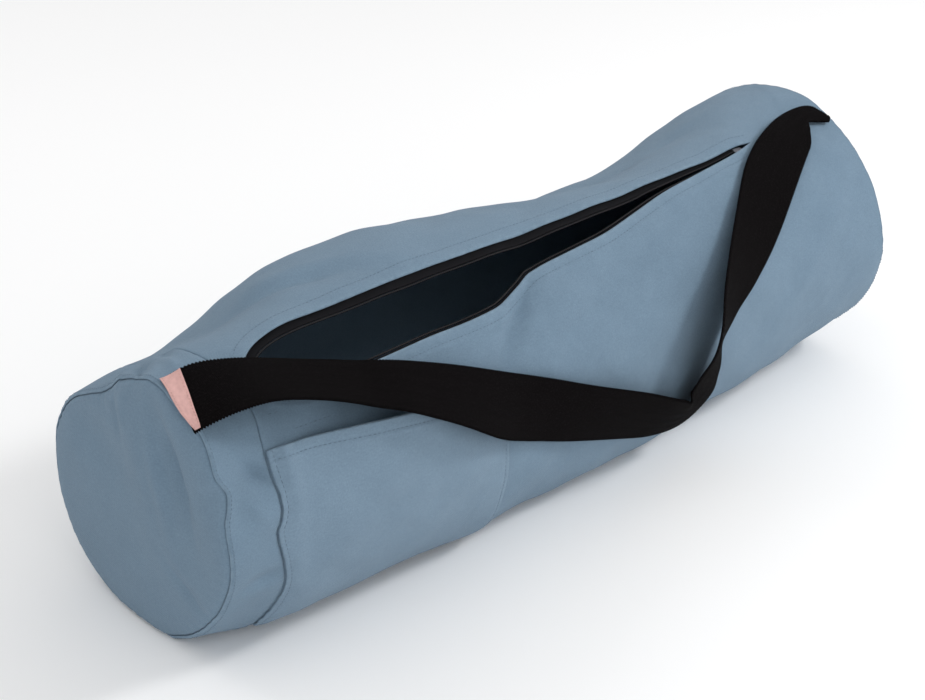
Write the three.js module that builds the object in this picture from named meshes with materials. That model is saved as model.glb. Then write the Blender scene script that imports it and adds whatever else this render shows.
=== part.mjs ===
// Yoga mat bag: a round canvas duffel lying on its side, with a long zipped
// opening on top, a patch pocket in front and a webbing shoulder strap.
// Millimetres. +X runs along the bag from its left end to its right end, -Y is
// the front and +Z is up. The origin is the middle of the underside it rests on.
// Angles go round the bag: 0 is the front, 90 the top, 180 the back.
import * as THREE from 'three';
import { mergeVertices } from 'three/addons/utils/BufferGeometryUtils.js';

// Driving dimensions of the bag
const bagLength = 660;
const bagDiameter = 220;
const restWidth = 72;
const canvasWall = 1.6;
const pieceGap = 0.3;
const leftCuffWidth = 40;
const seamAllowance = 8;
const seamGroove = 1.4;
const grooveWidth = 4;
const endDiscCrown = 9;

// Driving dimensions of the opening and its zip
const openingInset = 2;
const openingRightMargin = 94;
const hemWidth = 12;
const hemRise = 0.5;
const zipTapeWall = 0.8;
const zipTapeCover = 8;
const zipShowBack = 7;
const zipShowFront = 2.5;
const zipCoilWidth = 2.2;
const zipCoilHeight = 1.6;
const sliderLength = 9;
const sliderWidth = 5;
const sliderHeight = 3.2;

// Driving dimensions of the pocket, the strap and the label
const pocketLength = 194;
const pocketBottomAngle = -53;
const pocketGape = 17;
const strapWidth = 45;
const strapThickness = 2;
const strapClearance = 1.2;
const coverMargin = 12;
const labelWidth = 15;
const labelLength = 43;
const labelThickness = 1;

// How finely the cloth is divided
const stepsAround = 36;
const bodySteps = 28;
const closedSteps = 4;
const cuffSteps = 2;
const pocketSteps = 10;
const strapSteps = 60;
const strapProbes = 12;

// Lobes of a cross-section: where round the bag each one sits and how far it spreads
const LOBES = {
  shoulder: { angle: 120, spread: 62 },
  back: { angle: 172, spread: 48 },
  front: { angle: 0, spread: 50 },
  belly: { angle: -48, spread: 52 },
  heel: { angle: -128, spread: 60 },
};

// Cross-sections along the bag. Lobe heights are shares of the bag's radius.
const SECTIONS = [
  { along: 0.0, shoulder: -0.34, back: -0.11, front: -0.02, belly: -0.05, heel: 0.04 },
  { along: 0.06, shoulder: -0.29, back: -0.05, front: 0.0, belly: 0.04, heel: 0.03 },
  { along: 0.12, shoulder: -0.27, back: -0.02, front: 0.01, belly: 0.055, heel: 0.02 },
  { along: 0.16, shoulder: -0.19, back: 0.0, front: 0.01, belly: 0.06, heel: 0.01 },
  { along: 0.21, shoulder: -0.05, back: 0.01, front: 0.01, belly: 0.065, heel: 0.0 },
  { along: 0.32, shoulder: 0.02, back: 0.01, front: 0.02, belly: 0.105, heel: 0.0 },
  { along: 0.42, shoulder: -0.03, back: 0.01, front: 0.02, belly: 0.12, heel: 0.01 },
  { along: 0.52, shoulder: -0.14, back: 0.02, front: 0.02, belly: 0.13, heel: 0.02 },
  { along: 0.62, shoulder: -0.26, back: 0.03, front: 0.01, belly: 0.125, heel: 0.03 },
  { along: 0.72, shoulder: -0.29, back: 0.03, front: 0.0, belly: 0.08, heel: 0.03 },
  { along: 0.81, shoulder: -0.2, back: 0.02, front: 0.0, belly: 0.05, heel: 0.02 },
  { along: 0.9, shoulder: -0.04, back: 0.0, front: 0.0, belly: 0.0, heel: 0.0 },
  { along: 1.0, shoulder: 0.02, back: 0.0, front: 0.0, belly: -0.05, heel: -0.01 },
];

// Soft folds and dents of the cloth. Half lengths, half widths and depths are
// shares of the bag's radius, and a slant of 0 runs along the bag.
const FOLDS = [
  { along: 0.22, angle: 95, length: 0.42, width: 0.12, slant: -27, depth: -0.04 },
  { along: 0.405, angle: 38, length: 0.4, width: 0.13, slant: 41, depth: -0.045 },
  { along: 0.45, angle: 33, length: 0.4, width: 0.13, slant: 41, depth: 0.022 },
  { along: 0.6, angle: 41, length: 0.9, width: 0.16, slant: 15, depth: -0.022 },
  { along: 0.035, angle: 27, length: 0.3, width: 0.17, slant: 60, depth: -0.05 },
  { along: 0.05, angle: -38, length: 0.3, width: 0.17, slant: 70, depth: -0.04 },
];

// Dents in the left end disc: across and up are shares of the radius from its centre
const DISC_FOLDS = [
  { across: -0.42, up: 0.42, length: 0.5, width: 0.16, slant: 62, depth: -0.06 },
  { across: -0.18, up: 0.36, length: 0.45, width: 0.15, slant: 80, depth: 0.035 },
  { across: 0.3, up: 0.28, length: 0.5, width: 0.2, slant: 20, depth: -0.05 },
];

// The opening's two lips, from its left end to its right end
const OPENING = [
  { along: 0.0, front: 54, back: 54 },
  { along: 0.03, front: 49.5, back: 65 },
  { along: 0.08, front: 45.5, back: 71.5 },
  { along: 0.16, front: 44.5, back: 72.5 },
  { along: 0.28, front: 45, back: 72 },
  { along: 0.4, front: 45, back: 71 },
  { along: 0.455, front: 49.5, back: 70.5 },
  { along: 0.49, front: 53, back: 70.5 },
  { along: 0.64, front: 55.5, back: 70 },
  { along: 0.78, front: 62, back: 70.5 },
  { along: 0.9, front: 65.5, back: 70.5 },
  { along: 0.975, front: 67.2, back: 70.4 },
  { along: 1.0, front: 68.8, back: 68.8 },
];

// The pocket's top edge and how far it gapes, from its left side to its right side
const POCKET_TOP = [
  { along: 0.0, angle: 31.5, gape: 0.0 },
  { along: 0.15, angle: 30.5, gape: 0.12 },
  { along: 0.4, angle: 27, gape: 0.85 },
  { along: 0.6, angle: 24.5, gape: 1.0 },
  { along: 0.85, angle: 20, gape: 0.4 },
  { along: 1.0, angle: 17.5, gape: 0.0 },
];

// The strap from the left end seam to the right end seam. Lift is the free air
// under its nearest edge in strap widths. Turn swings its lower edge from straight
// down round the bag (0) towards the right end (90), and lean raises that edge.
// Spread is the share of its width that lies open: the right end is pinched.
const STRAP = [
  { along: 0.0, angle: 57.5, lift: 0.0, turn: -4, lean: 0, spread: 1 },
  { along: 0.02, angle: 57, lift: 0.1, turn: -8, lean: 4, spread: 1 },
  { along: 0.047, angle: 54.5, lift: 0.14, turn: -16, lean: 16, spread: 1 },
  { along: 0.085, angle: 51, lift: 0.12, turn: -22, lean: 28, spread: 1 },
  { along: 0.13, angle: 45.5, lift: 0.08, turn: -24, lean: 34, spread: 1 },
  { along: 0.175, angle: 39.5, lift: 0.05, turn: -24, lean: 34, spread: 1 },
  { along: 0.225, angle: 32, lift: 0.04, turn: -24, lean: 30, spread: 1 },
  { along: 0.285, angle: 23, lift: 0.02, turn: -24, lean: 22, spread: 1 },
  { along: 0.36, angle: 11, lift: 0.0, turn: -25, lean: 6, spread: 1 },
  { along: 0.44, angle: -1, lift: 0.0, turn: -26, lean: -5, spread: 1 },
  { along: 0.53, angle: -13, lift: 0.0, turn: -24, lean: -9, spread: 1 },
  { along: 0.6, angle: -23, lift: 0.0, turn: -8, lean: -9, spread: 1 },
  { along: 0.643, angle: -27, lift: 0.03, turn: 24, lean: -6, spread: 1 },
  { along: 0.657, angle: -20, lift: 0.04, turn: 54, lean: -6, spread: 1 },
  { along: 0.658, angle: -9.5, lift: 0.05, turn: 60, lean: -18, spread: 1 },
  { along: 0.665, angle: 2, lift: 0.06, turn: 58, lean: -34, spread: 1 },
  { along: 0.688, angle: 13, lift: 0.05, turn: 48, lean: -26, spread: 1 },
  { along: 0.727, angle: 23, lift: 0.04, turn: 42, lean: -14, spread: 1 },
  { along: 0.775, angle: 34.5, lift: 0.02, turn: 40, lean: -5, spread: 1 },
  { along: 0.83, angle: 48.5, lift: 0.02, turn: 40, lean: 0, spread: 1 },
  { along: 0.873, angle: 57.5, lift: 0.03, turn: 42, lean: 0, spread: 0.95 },
  { along: 0.908, angle: 63, lift: 0.05, turn: 36, lean: -2, spread: 0.78 },
  { along: 0.952, angle: 67.5, lift: 0.04, turn: 14, lean: -2, spread: 0.58 },
  { along: 0.997, angle: 69.5, lift: 0.0, turn: 0, lean: 0, spread: 0.45 },
];

// Sizes that follow from the ones above
const bagRadius = bagDiameter / 2;
const axisHeight = Math.sqrt(bagRadius ** 2 - (restWidth / 2) ** 2);
const leftEnd = -bagLength / 2;
const rightEnd = bagLength / 2;
const leftSeam = leftEnd + leftCuffWidth;
const openingStart = leftSeam + grooveWidth + openingInset;
const openingEnd = rightEnd - openingRightMargin;
const pocketStart = leftSeam + pieceGap;
const pocketEnd = pocketStart + pocketLength;
// Room that the slider takes at the closed end of the zip
const openingRoomForSlider = 2 * sliderLength;
const degree = Math.PI / 180;
const degreesPerMillimetre = 1 / (bagRadius * degree);
// Gap between layers of cloth that lie on each other, with room for their flat facets
const layerGap = pieceGap + bagRadius * (1 - Math.cos(Math.PI / stepsAround));

// Cubic reading of one column of a table at a place between its rows
function readColumn(rows, places, column, place) {
  const last = rows.length - 1;
  let row = 0;
  while (row < last - 1 && place > places[row + 1]) row += 1;
  const slopeBetween = (a, b) => (rows[b][column] - rows[a][column]) / (places[b] - places[a]);
  const slopeAt = (index) => slopeBetween(Math.max(index - 1, 0), Math.min(index + 1, last));
  const span = places[row + 1] - places[row];
  const t = Math.min(Math.max((place - places[row]) / span, 0), 1);
  const start = rows[row][column];
  const end = rows[row + 1][column];
  const startSlope = slopeAt(row) * span;
  const endSlope = slopeAt(row + 1) * span;
  const rise = 3 * t ** 2 - 2 * t ** 3;
  const startBend = t ** 3 - 2 * t ** 2 + t;
  const endBend = t ** 3 - t ** 2;
  return start + (end - start) * rise + startSlope * startBend + endSlope * endBend;
}

function readAlong(rows, column, along) {
  return readColumn(rows, rows.map((row) => row.along), column, along);
}

// Difference between two angles, from -180 to 180 degrees
function turnBetween(angle, other) {
  return ((((angle - other + 180) % 360) + 360) % 360) - 180;
}

// 1 at the middle of a lobe, falling smoothly to 0 at its edge
function lobe(offset, spread) {
  return Math.abs(offset) < spread ? (1 + Math.cos((Math.PI * offset) / spread)) / 2 : 0;
}

// Height of one fold at a distance from its middle
function foldHeight(row, sideways, upwards) {
  const lengthways = sideways * Math.cos(row.slant * degree) + upwards * Math.sin(row.slant * degree);
  const across = upwards * Math.cos(row.slant * degree) - sideways * Math.sin(row.slant * degree);
  const reach = (lengthways / row.length) ** 2 + (across / row.width) ** 2;
  return row.depth * Math.exp(-reach);
}

// Radius of the cloth's outer face at a place along the bag and round it
function radiusAt(x, angle) {
  const along = (x - leftEnd) / bagLength;
  let share = 1;
  for (const [name, { angle: middle, spread }] of Object.entries(LOBES)) {
    share += readAlong(SECTIONS, name, along) * lobe(turnBetween(angle, middle), spread);
  }
  for (const fold of FOLDS) {
    const sideways = (along - fold.along) * (bagLength / bagRadius);
    share += foldHeight(fold, sideways, turnBetween(angle, fold.angle) * degree);
  }
  return bagRadius * share;
}

// A point below the cloth's outer face by the drop, flattened where the bag rests
function clothPoint(x, angle, drop, share = 1) {
  const radius = (radiusAt(x, angle) - drop) * share;
  const y = -radius * Math.cos(angle * degree);
  const z = axisHeight + radius * Math.sin(angle * degree);
  return new THREE.Vector3(x, y, Math.max(z, drop));
}

// One closed mesh from triangles of points, with shared corners merged
function closedGeometry(triangles) {
  const positions = new Float32Array(triangles.flatMap((triangle) => triangle.flatMap((p) => p.toArray())));
  const loose = new THREE.BufferGeometry();
  loose.setAttribute('position', new THREE.BufferAttribute(positions, 3));
  const merged = mergeVertices(loose, 1e-3);
  const index = merged.getIndex().array;
  const kept = [];
  for (let i = 0; i < index.length; i += 3) {
    const [a, b, c] = [index[i], index[i + 1], index[i + 2]];
    if (a !== b && b !== c && c !== a) kept.push(a, b, c);
  }
  merged.setIndex(kept);
  merged.computeVertexNormals();
  return merged;
}

// A wall of cloth between two grids of points with the same rows and columns.
// Rows whose first and last points meet are closed round, the others have lips.
function wallGeometry(outer, inner) {
  const triangles = [];
  const lastRow = outer.length - 1;
  const lastColumn = outer[0].length - 1;
  const quad = (a, b, c, d) => triangles.push([a, b, c], [a, c, d]);
  for (let i = 0; i < lastRow; i += 1) {
    for (let j = 0; j < lastColumn; j += 1) {
      quad(outer[i][j], outer[i][j + 1], outer[i + 1][j + 1], outer[i + 1][j]);
      quad(inner[i][j], inner[i + 1][j], inner[i + 1][j + 1], inner[i][j + 1]);
    }
  }
  for (let j = 0; j < lastColumn; j += 1) {
    quad(outer[0][j], inner[0][j], inner[0][j + 1], outer[0][j + 1]);
    quad(outer[lastRow][j], outer[lastRow][j + 1], inner[lastRow][j + 1], inner[lastRow][j]);
  }
  const meets = (i) => outer[i][0].distanceTo(outer[i][lastColumn]) < pieceGap / 10;
  for (let i = 0; i < lastRow; i += 1) {
    if (meets(i) && meets(i + 1)) continue;
    quad(outer[i][0], outer[i + 1][0], inner[i + 1][0], inner[i][0]);
    quad(outer[i][lastColumn], inner[i][lastColumn], inner[i + 1][lastColumn], outer[i + 1][lastColumn]);
  }
  return closedGeometry(triangles);
}

function range(count, make) {
  return Array.from({ length: count + 1 }, (_, index) => make(index / count));
}

function blend(from, to, share) {
  return from + (to - from) * share;
}

// Stations of a sleeve of cloth from start to end: where its outer and inner faces
// lie. An end either turns in by the seam allowance or stops plain under a disc's edge.
function sleeveStations(start, end, steps, turned) {
  const edge = (x, into, isTurned) => {
    const groove = {
      x,
      drop: seamGroove,
      innerX: isTurned ? x + into * canvasWall : x,
      innerDrop: seamGroove + canvasWall,
    };
    const flange = { ...groove, drop: seamAllowance, innerDrop: seamAllowance };
    return isTurned ? [flange, groove] : [groove];
  };
  const inside = range(steps, (share) => {
    const x = blend(start + grooveWidth, end - grooveWidth, share);
    return { x, drop: 0, innerX: x, innerDrop: canvasWall };
  });
  return [...edge(start, 1, turned.start), ...inside, ...edge(end, -1, turned.end).reverse()];
}

// A closed sleeve of cloth round the bag
function sleeveGeometry(stations) {
  const angles = range(stepsAround, (share) => 90 - share * 360);
  const outer = stations.map((at) => angles.map((angle) => clothPoint(at.x, angle, at.drop)));
  const inner = stations.map((at) => angles.map((angle) => clothPoint(at.innerX, angle, at.innerDrop)));
  return wallGeometry(outer, inner);
}

// Share of the opening's length at a place along the bag
function openingShare(x) {
  return (x - openingStart) / (openingEnd - openingStart);
}

// Angles of the opening's front and back lips, which meet past its ends
function lipAngles(x) {
  const share = Math.min(Math.max(openingShare(x), 0), 1);
  return { front: readAlong(OPENING, 'front', share), back: readAlong(OPENING, 'back', share) };
}

// How much of the hem shows: 0 past the opening's ends and 1 along most of it
function hemShare(x) {
  const fromEnd = Math.min(x - openingStart, openingEnd - x);
  return Math.min(Math.max(fromEnd / (2 * hemWidth), 0), 1);
}

// Stations of the main panel, which is slit along the top for the opening
function bodyStations() {
  const frame = sleeveStations(leftSeam + pieceGap / 2, rightEnd, 1, { start: true, end: false });
  const before = frame.filter((at) => at.x < openingStart);
  const after = frame.filter((at) => at.x > openingEnd);
  const flat = (x) => ({ x, drop: 0, innerX: x, innerDrop: canvasWall });
  const slit = range(bodySteps, (share) => flat(blend(openingStart, openingEnd, share)));
  const closed = range(closedSteps, (share) => flat(blend(openingEnd, rightEnd - grooveWidth, share)));
  return [...before, ...slit, ...closed.slice(1, -1), ...after];
}

// The main panel: a sleeve with a hem on both lips of its opening
function bodyGeometry() {
  const hemTurn = hemWidth * degreesPerMillimetre;
  const layer = (xOf, dropOf, side) => bodyStations().map((at) => {
    const x = at[xOf];
    const lips = lipAngles(x);
    const first = lips.front;
    const last = lips.back - 360;
    const rise = hemRise * hemShare(x) * side;
    const hem = [0, hemTurn, hemTurn * 1.3];
    const cloth = range(stepsAround, (share) => blend(first - hem[2], last + hem[2], share));
    const angles = [first, first - hem[1], ...cloth, last + hem[1], last];
    return angles.map((angle, index) => {
      const inHem = index < 2 || index > angles.length - 3;
      return clothPoint(x, angle, at[dropOf] - (inHem ? rise : 0));
    });
  });
  return wallGeometry(layer('x', 'drop', 1), layer('innerX', 'innerDrop', -1));
}

// An end disc: a crowned face whose edge turns into the sleeve it is sewn to
function discGeometry(end, into, folds) {
  const rimDrop = seamGroove + canvasWall + layerGap;
  const face = [
    { share: 1, crown: 0 },
    { share: 0.96, crown: 0.32 },
    { share: 0.86, crown: 0.6 },
    { share: 0.6, crown: 0.85 },
    { share: 0.3, crown: 0.96 },
    { share: 0, crown: 1 },
  ];
  const angles = range(stepsAround, (share) => 90 + into * share * 360);
  const facePoint = ({ share, crown }, angle, drop) => {
    const point = clothPoint(end, angle, rimDrop + drop, share);
    let bulge = endDiscCrown * crown;
    for (const fold of folds) {
      const across = point.y / bagRadius - fold.across;
      const up = (point.z - axisHeight) / bagRadius - fold.up;
      bulge += bagRadius * foldHeight(fold, across, up) * (1 - share ** 8);
    }
    return point.setX(end - into * (bulge - drop));
  };
  const flange = (drop) => angles.map((angle) => {
    const rim = clothPoint(end, angle, rimDrop + drop);
    return rim.setX(end + into * seamAllowance);
  });
  const layer = (drop) => [
    flange(drop),
    ...face.map((row) => angles.map((angle) => facePoint(row, angle, drop))),
  ];
  const outer = layer(0).reverse();
  const inner = layer(canvasWall).reverse();
  return closedFaceGeometry(outer, inner);
}

// A wall whose first row is a single point on each face, such as a disc's middle
function closedFaceGeometry(outer, inner) {
  const triangles = [];
  const lastRow = outer.length - 1;
  const quad = (a, b, c, d) => triangles.push([a, b, c], [a, c, d]);
  for (let j = 0; j < outer[0].length - 1; j += 1) {
    for (let i = 0; i < lastRow; i += 1) {
      quad(outer[i][j], outer[i + 1][j], outer[i + 1][j + 1], outer[i][j + 1]);
      quad(inner[i][j], inner[i][j + 1], inner[i + 1][j + 1], inner[i + 1][j]);
    }
    quad(outer[lastRow][j], inner[lastRow][j], inner[lastRow][j + 1], outer[lastRow][j + 1]);
  }
  return closedGeometry(triangles);
}

// How far the pocket's inner face stands off the body
function pocketStandOff(share, angle) {
  const top = readAlong(POCKET_TOP, 'angle', share);
  const upwards = (angle - pocketBottomAngle) / (top - pocketBottomAngle);
  const gape = Math.max(readAlong(POCKET_TOP, 'gape', share), 0);
  return layerGap + pocketGape * gape * Math.max(upwards, 0) ** 2.2;
}

// Height of what covers the body at a place: the pocket's wall up to a little past
// its edges, or nothing
function coverHeight(x, angle) {
  const past = coverMargin * degreesPerMillimetre;
  const share = Math.min(Math.max((x - pocketStart) / pocketLength, 0), 1);
  const top = readAlong(POCKET_TOP, 'angle', share);
  const isBeside = x < pocketStart - coverMargin || x > pocketEnd + coverMargin;
  if (isBeside || angle > top + past || angle < pocketBottomAngle - past) return 0;
  return pocketStandOff(share, Math.min(angle, top)) + canvasWall;
}

// Places from start to end, divided where the main panel is
function bodyPlaces(start, end) {
  const inside = bodyStations().map((at) => at.x).filter((x) => x > start + 1 && x < end - 1);
  return [start, ...inside, end];
}

// The patch pocket, sewn to the body along three sides
function pocketGeometry() {
  const stations = bodyPlaces(pocketStart, pocketEnd);
  const layer = (extra) => stations.map((x) => {
    const share = (x - pocketStart) / pocketLength;
    const top = readAlong(POCKET_TOP, 'angle', share);
    return range(pocketSteps, (fall) => {
      const angle = blend(top, pocketBottomAngle, fall);
      return clothPoint(x, angle, -(pocketStandOff(share, angle) + extra));
    });
  });
  return wallGeometry(layer(canvasWall), layer(0));
}

// Places that the zip's bands reach, at the main panel's own divisions
function bandPlaces() {
  const start = openingStart + hemWidth;
  const end = openingEnd - openingRoomForSlider;
  return bodyStations().map((at) => at.x).filter((x) => x > start && x < end);
}

// A narrow band that follows a lip of the opening, between two distances from it
function lipBandGeometry(lip, from, to, drop, wall) {
  const side = lip === 'front' ? 1 : -1;
  const bandPoint = (x, distance, depth) => {
    const angle = lipAngles(x)[lip] + side * distance * degreesPerMillimetre;
    return clothPoint(x, angle, depth);
  };
  const layer = (depth) => bandPlaces().map((x) => {
    const reach = Math.min(1, halfOpening(x) / (zipShowBack + zipCoilWidth + 2 * pieceGap));
    const edges = [from, to].map((distance) => (distance > 0 ? distance * reach : distance));
    const angles = range(2, (across) => blend(edges[0], edges[1], across));
    const points = angles.map((distance) => bandPoint(x, distance, depth));
    return side > 0 ? points.reverse() : points;
  });
  return wallGeometry(layer(drop), layer(drop + wall));
}

// Half the opening's width at a place, in millimetres
function halfOpening(x) {
  const lips = lipAngles(x);
  return (lips.back - lips.front) / degreesPerMillimetre / 2;
}

const zipDrop = canvasWall + hemRise + layerGap;

function zipTapeGeometry(lip, show) {
  return lipBandGeometry(lip, -zipTapeCover, show, zipDrop, zipTapeWall);
}

function zipCoilGeometry(lip, show) {
  const drop = zipDrop - (zipCoilHeight - zipTapeWall) / 2;
  return lipBandGeometry(lip, show + pieceGap, show + pieceGap + zipCoilWidth, drop, zipCoilHeight);
}

// Directions at a place on the bag: along it, down round it and straight out of it
function directionsAt(angle) {
  const out = new THREE.Vector3(0, -Math.cos(angle * degree), Math.sin(angle * degree));
  const down = new THREE.Vector3(0, -Math.sin(angle * degree), -Math.cos(angle * degree));
  return { along: new THREE.Vector3(1, 0, 0), down, out };
}

// Height of a point above the bag's cloth and what covers it
function heightAboveCloth(point) {
  const rise = point.z - axisHeight;
  const angle = Math.atan2(rise, -point.y) / degree;
  return Math.hypot(point.y, rise) - radiusAt(point.x, angle) - coverHeight(point.x, angle);
}

// The strap's middle and the direction across it, at a share of its table
function strapStation(share) {
  const places = STRAP.map((_, index) => index / (STRAP.length - 1));
  const read = (column) => readColumn(STRAP, places, column, share);
  const x = leftEnd + read('along') * bagLength;
  const angle = read('angle');
  const { along, down, out } = directionsAt(angle);
  const turn = read('turn') * degree;
  const lean = read('lean') * degree;
  const across = down.clone().multiplyScalar(Math.cos(turn) * Math.cos(lean));
  across.addScaledVector(along, Math.sin(turn) * Math.cos(lean));
  across.addScaledVector(out, Math.sin(lean));
  const middle = clothPoint(x, angle, 0);
  const width = strapWidth * read('spread');
  const wanted = strapThickness / 2 + layerGap + strapClearance + Math.max(read('lift'), 0) * strapWidth;
  for (let pass = 0; pass < 4; pass += 1) {
    const lowest = Math.min(...range(strapProbes, (place) => {
      const edge = middle.clone().addScaledVector(across, (place - 0.5) * width);
      return heightAboveCloth(edge);
    }));
    middle.addScaledVector(out, wanted - lowest);
  }
  return { middle, across, width };
}

const strapStations = range(strapSteps, strapStation);

// The strap's outward direction at a station, square to its run and its width
function strapFacing(index) {
  const before = strapStations[Math.max(index - 1, 0)].middle;
  const after = strapStations[Math.min(index + 1, strapSteps)].middle;
  const run = after.clone().sub(before);
  return strapStations[index].across.clone().cross(run).normalize();
}

// A band that follows the strap, at a height over its middle
function strapBandGeometry(indices, widthShare, thickness, heightAt) {
  const layer = (side) => indices.map((index) => {
    const { middle, across, width } = strapStations[index];
    const facing = strapFacing(index);
    return range(1, (place) => middle.clone()
      .addScaledVector(across, (place - 0.5) * width * widthShare)
      .addScaledVector(facing, heightAt(index) + side * (thickness / 2)));
  });
  return wallGeometry(layer(1), layer(-1));
}

function strapGeometry() {
  return strapBandGeometry(strapStations.map((_, index) => index), 1, strapThickness, () => 0);
}

// The label lies over the strap's left end and lifts a little at its free edge
function labelGeometry() {
  const travelled = (index) => strapStations[index].middle.distanceTo(strapStations[0].middle);
  const indices = strapStations.map((_, index) => index).filter((index) => travelled(index) < labelWidth);
  const seated = (strapThickness + labelThickness) / 2 + pieceGap;
  const heightAt = (index) => seated + travelled(index) / 10;
  return strapBandGeometry(indices, labelLength / strapWidth, labelThickness, heightAt);
}

// The slider's plan: a blunt wedge that narrows towards the closed end of the zip
function sliderPlan() {
  const plan = new THREE.Shape();
  plan.moveTo(-sliderLength / 2, -sliderWidth / 2);
  plan.lineTo(sliderLength / 6, -sliderWidth / 2);
  plan.lineTo(sliderLength / 2, -sliderWidth / 4);
  plan.lineTo(sliderLength / 2, sliderWidth / 4);
  plan.lineTo(sliderLength / 6, sliderWidth / 2);
  plan.lineTo(-sliderLength / 2, sliderWidth / 2);
  plan.closePath();
  return plan;
}

// The slider lies under the lips, just past the ends of the coils
function sliderGeometry() {
  const geometry = new THREE.ExtrudeGeometry(sliderPlan(), { depth: sliderHeight, bevelEnabled: false });
  const x = bandPlaces().at(-1) + pieceGap + sliderLength / 2;
  const lips = lipAngles(x);
  const angle = (lips.front + lips.back) / 2;
  const { along, down, out } = directionsAt(angle);
  const axes = new THREE.Matrix4().makeBasis(along, down.clone().negate(), out);
  geometry.applyMatrix4(axes.setPosition(clothPoint(x, angle, zipDrop + sliderHeight)));
  return geometry;
}

function canvasMaterial(colour) {
  return new THREE.MeshStandardMaterial({ color: colour, roughness: 0.92, metalness: 0 });
}

const canvas = 0x768ea1;
const webbing = 0x161214;
const zipBlack = 0x17161b;
const labelPink = 0xd8aca6;
const zipMetal = 0xb4b6ba;

const bag = new THREE.Group();

function addPiece(name, geometry, material) {
  const mesh = new THREE.Mesh(geometry, material);
  mesh.name = name;
  bag.add(mesh);
}

function zipMaterial() {
  return new THREE.MeshStandardMaterial({ color: zipBlack, roughness: 0.7, metalness: 0 });
}

function metalMaterial() {
  return new THREE.MeshStandardMaterial({ color: zipMetal, roughness: 0.35, metalness: 1 });
}

const cuffEnd = leftSeam - pieceGap / 2;
const cuffStations = sleeveStations(leftEnd, cuffEnd, cuffSteps, { start: false, end: true });

addPiece('body_panel', bodyGeometry(), canvasMaterial(canvas));
addPiece('cuff_left', sleeveGeometry(cuffStations), canvasMaterial(canvas));
addPiece('end_disc_left', discGeometry(leftEnd, 1, DISC_FOLDS), canvasMaterial(canvas));
addPiece('end_disc_right', discGeometry(rightEnd, -1, []), canvasMaterial(canvas));
addPiece('front_pocket', pocketGeometry(), canvasMaterial(canvas));
addPiece('zip_tape_back', zipTapeGeometry('back', zipShowBack), zipMaterial());
addPiece('zip_tape_front', zipTapeGeometry('front', zipShowFront), zipMaterial());
addPiece('zip_coil_back', zipCoilGeometry('back', zipShowBack), zipMaterial());
addPiece('zip_coil_front', zipCoilGeometry('front', zipShowFront), zipMaterial());
addPiece('zip_slider', sliderGeometry(), metalMaterial());
addPiece('strap', strapGeometry(), new THREE.MeshStandardMaterial({ color: webbing, roughness: 0.95 }));
addPiece('label', labelGeometry(), new THREE.MeshStandardMaterial({ color: labelPink, roughness: 0.8 }));

export default bag;
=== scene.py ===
"""Yoga mat bag: a round canvas duffel lying on its side, dressed for its picture.

Metres. +X runs along the bag from its left end to its right end, -Y is the front
and +Z is up. Angles go round the bag in degrees: 0 is the front, 90 the top.
"""

import logging
import math
from dataclasses import astuple, dataclass, field, replace
from enum import Enum
from functools import cached_property
from typing import Any, Sequence

import bmesh
import bpy
import numpy as np
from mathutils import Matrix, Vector


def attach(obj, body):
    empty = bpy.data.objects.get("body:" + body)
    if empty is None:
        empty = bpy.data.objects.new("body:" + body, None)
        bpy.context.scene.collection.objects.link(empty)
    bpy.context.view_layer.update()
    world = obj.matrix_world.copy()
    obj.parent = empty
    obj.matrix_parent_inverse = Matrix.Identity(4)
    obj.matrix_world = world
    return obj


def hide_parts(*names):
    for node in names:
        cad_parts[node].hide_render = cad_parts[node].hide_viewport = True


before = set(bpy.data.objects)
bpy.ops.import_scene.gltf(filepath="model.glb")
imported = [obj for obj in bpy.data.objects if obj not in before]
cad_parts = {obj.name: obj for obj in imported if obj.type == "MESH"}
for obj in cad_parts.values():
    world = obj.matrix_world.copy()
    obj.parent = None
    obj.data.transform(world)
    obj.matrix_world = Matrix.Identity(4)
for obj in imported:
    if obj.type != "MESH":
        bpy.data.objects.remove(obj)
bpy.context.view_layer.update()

LOG = logging.getLogger("yoga_mat_bag")

# Vertices closer than the first become one, and edges shorter than the second go
MERGE_DISTANCE = 2e-6
SHORTEST_EDGE = 1e-6

Array = np.ndarray
Colour = tuple[float, float, float]


class Slot(Enum):
    """The record's material slots."""

    CANVAS = "canvas"
    WEBBING = "webbing"
    ZIP_TAPE = "zip_tape"
    ZIP_COIL = "zip_coil"
    ZIP_METAL = "zip_metal"
    LABEL = "label"


class Lip(Enum):
    """The two lips of the opening."""

    FRONT = "front"
    BACK = "back"


class End(Enum):
    """The bag's two ends, with the sign that leads from each into the bag."""

    LEFT = 1
    RIGHT = -1


@dataclass(frozen=True)
class LobeRow:
    """Where round the bag a lobe of its cross-section sits and how far it spreads."""

    name: str
    angle: float
    spread: float


@dataclass(frozen=True)
class SectionRow:
    """A cross-section along the bag, with lobe heights as shares of the radius."""

    along: float
    shoulder: float
    back: float
    front: float
    belly: float
    heel: float


@dataclass(frozen=True)
class FoldRow:
    """A soft fold: its place, and its half sizes and depth as shares of the radius."""

    across: float
    up: float
    length: float
    width: float
    slant: float
    depth: float


@dataclass(frozen=True)
class OpeningRow:
    """Angles of the opening's lips at a share of its length."""

    along: float
    front: float
    back: float


@dataclass(frozen=True)
class PocketRow:
    """The pocket's top edge and its gape at a share of the pocket's length."""

    along: float
    angle: float
    gape: float


@dataclass(frozen=True)
class StrapRow:
    """The strap's place, free air, swing, lean and open share of its width."""

    along: float
    angle: float
    lift: float
    turn: float
    lean: float
    spread: float


@dataclass(frozen=True)
class LabelRow:
    """Both sides of the label past the end seam, in millimetres, at a share of its length."""

    along: float
    left: float
    right: float


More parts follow.
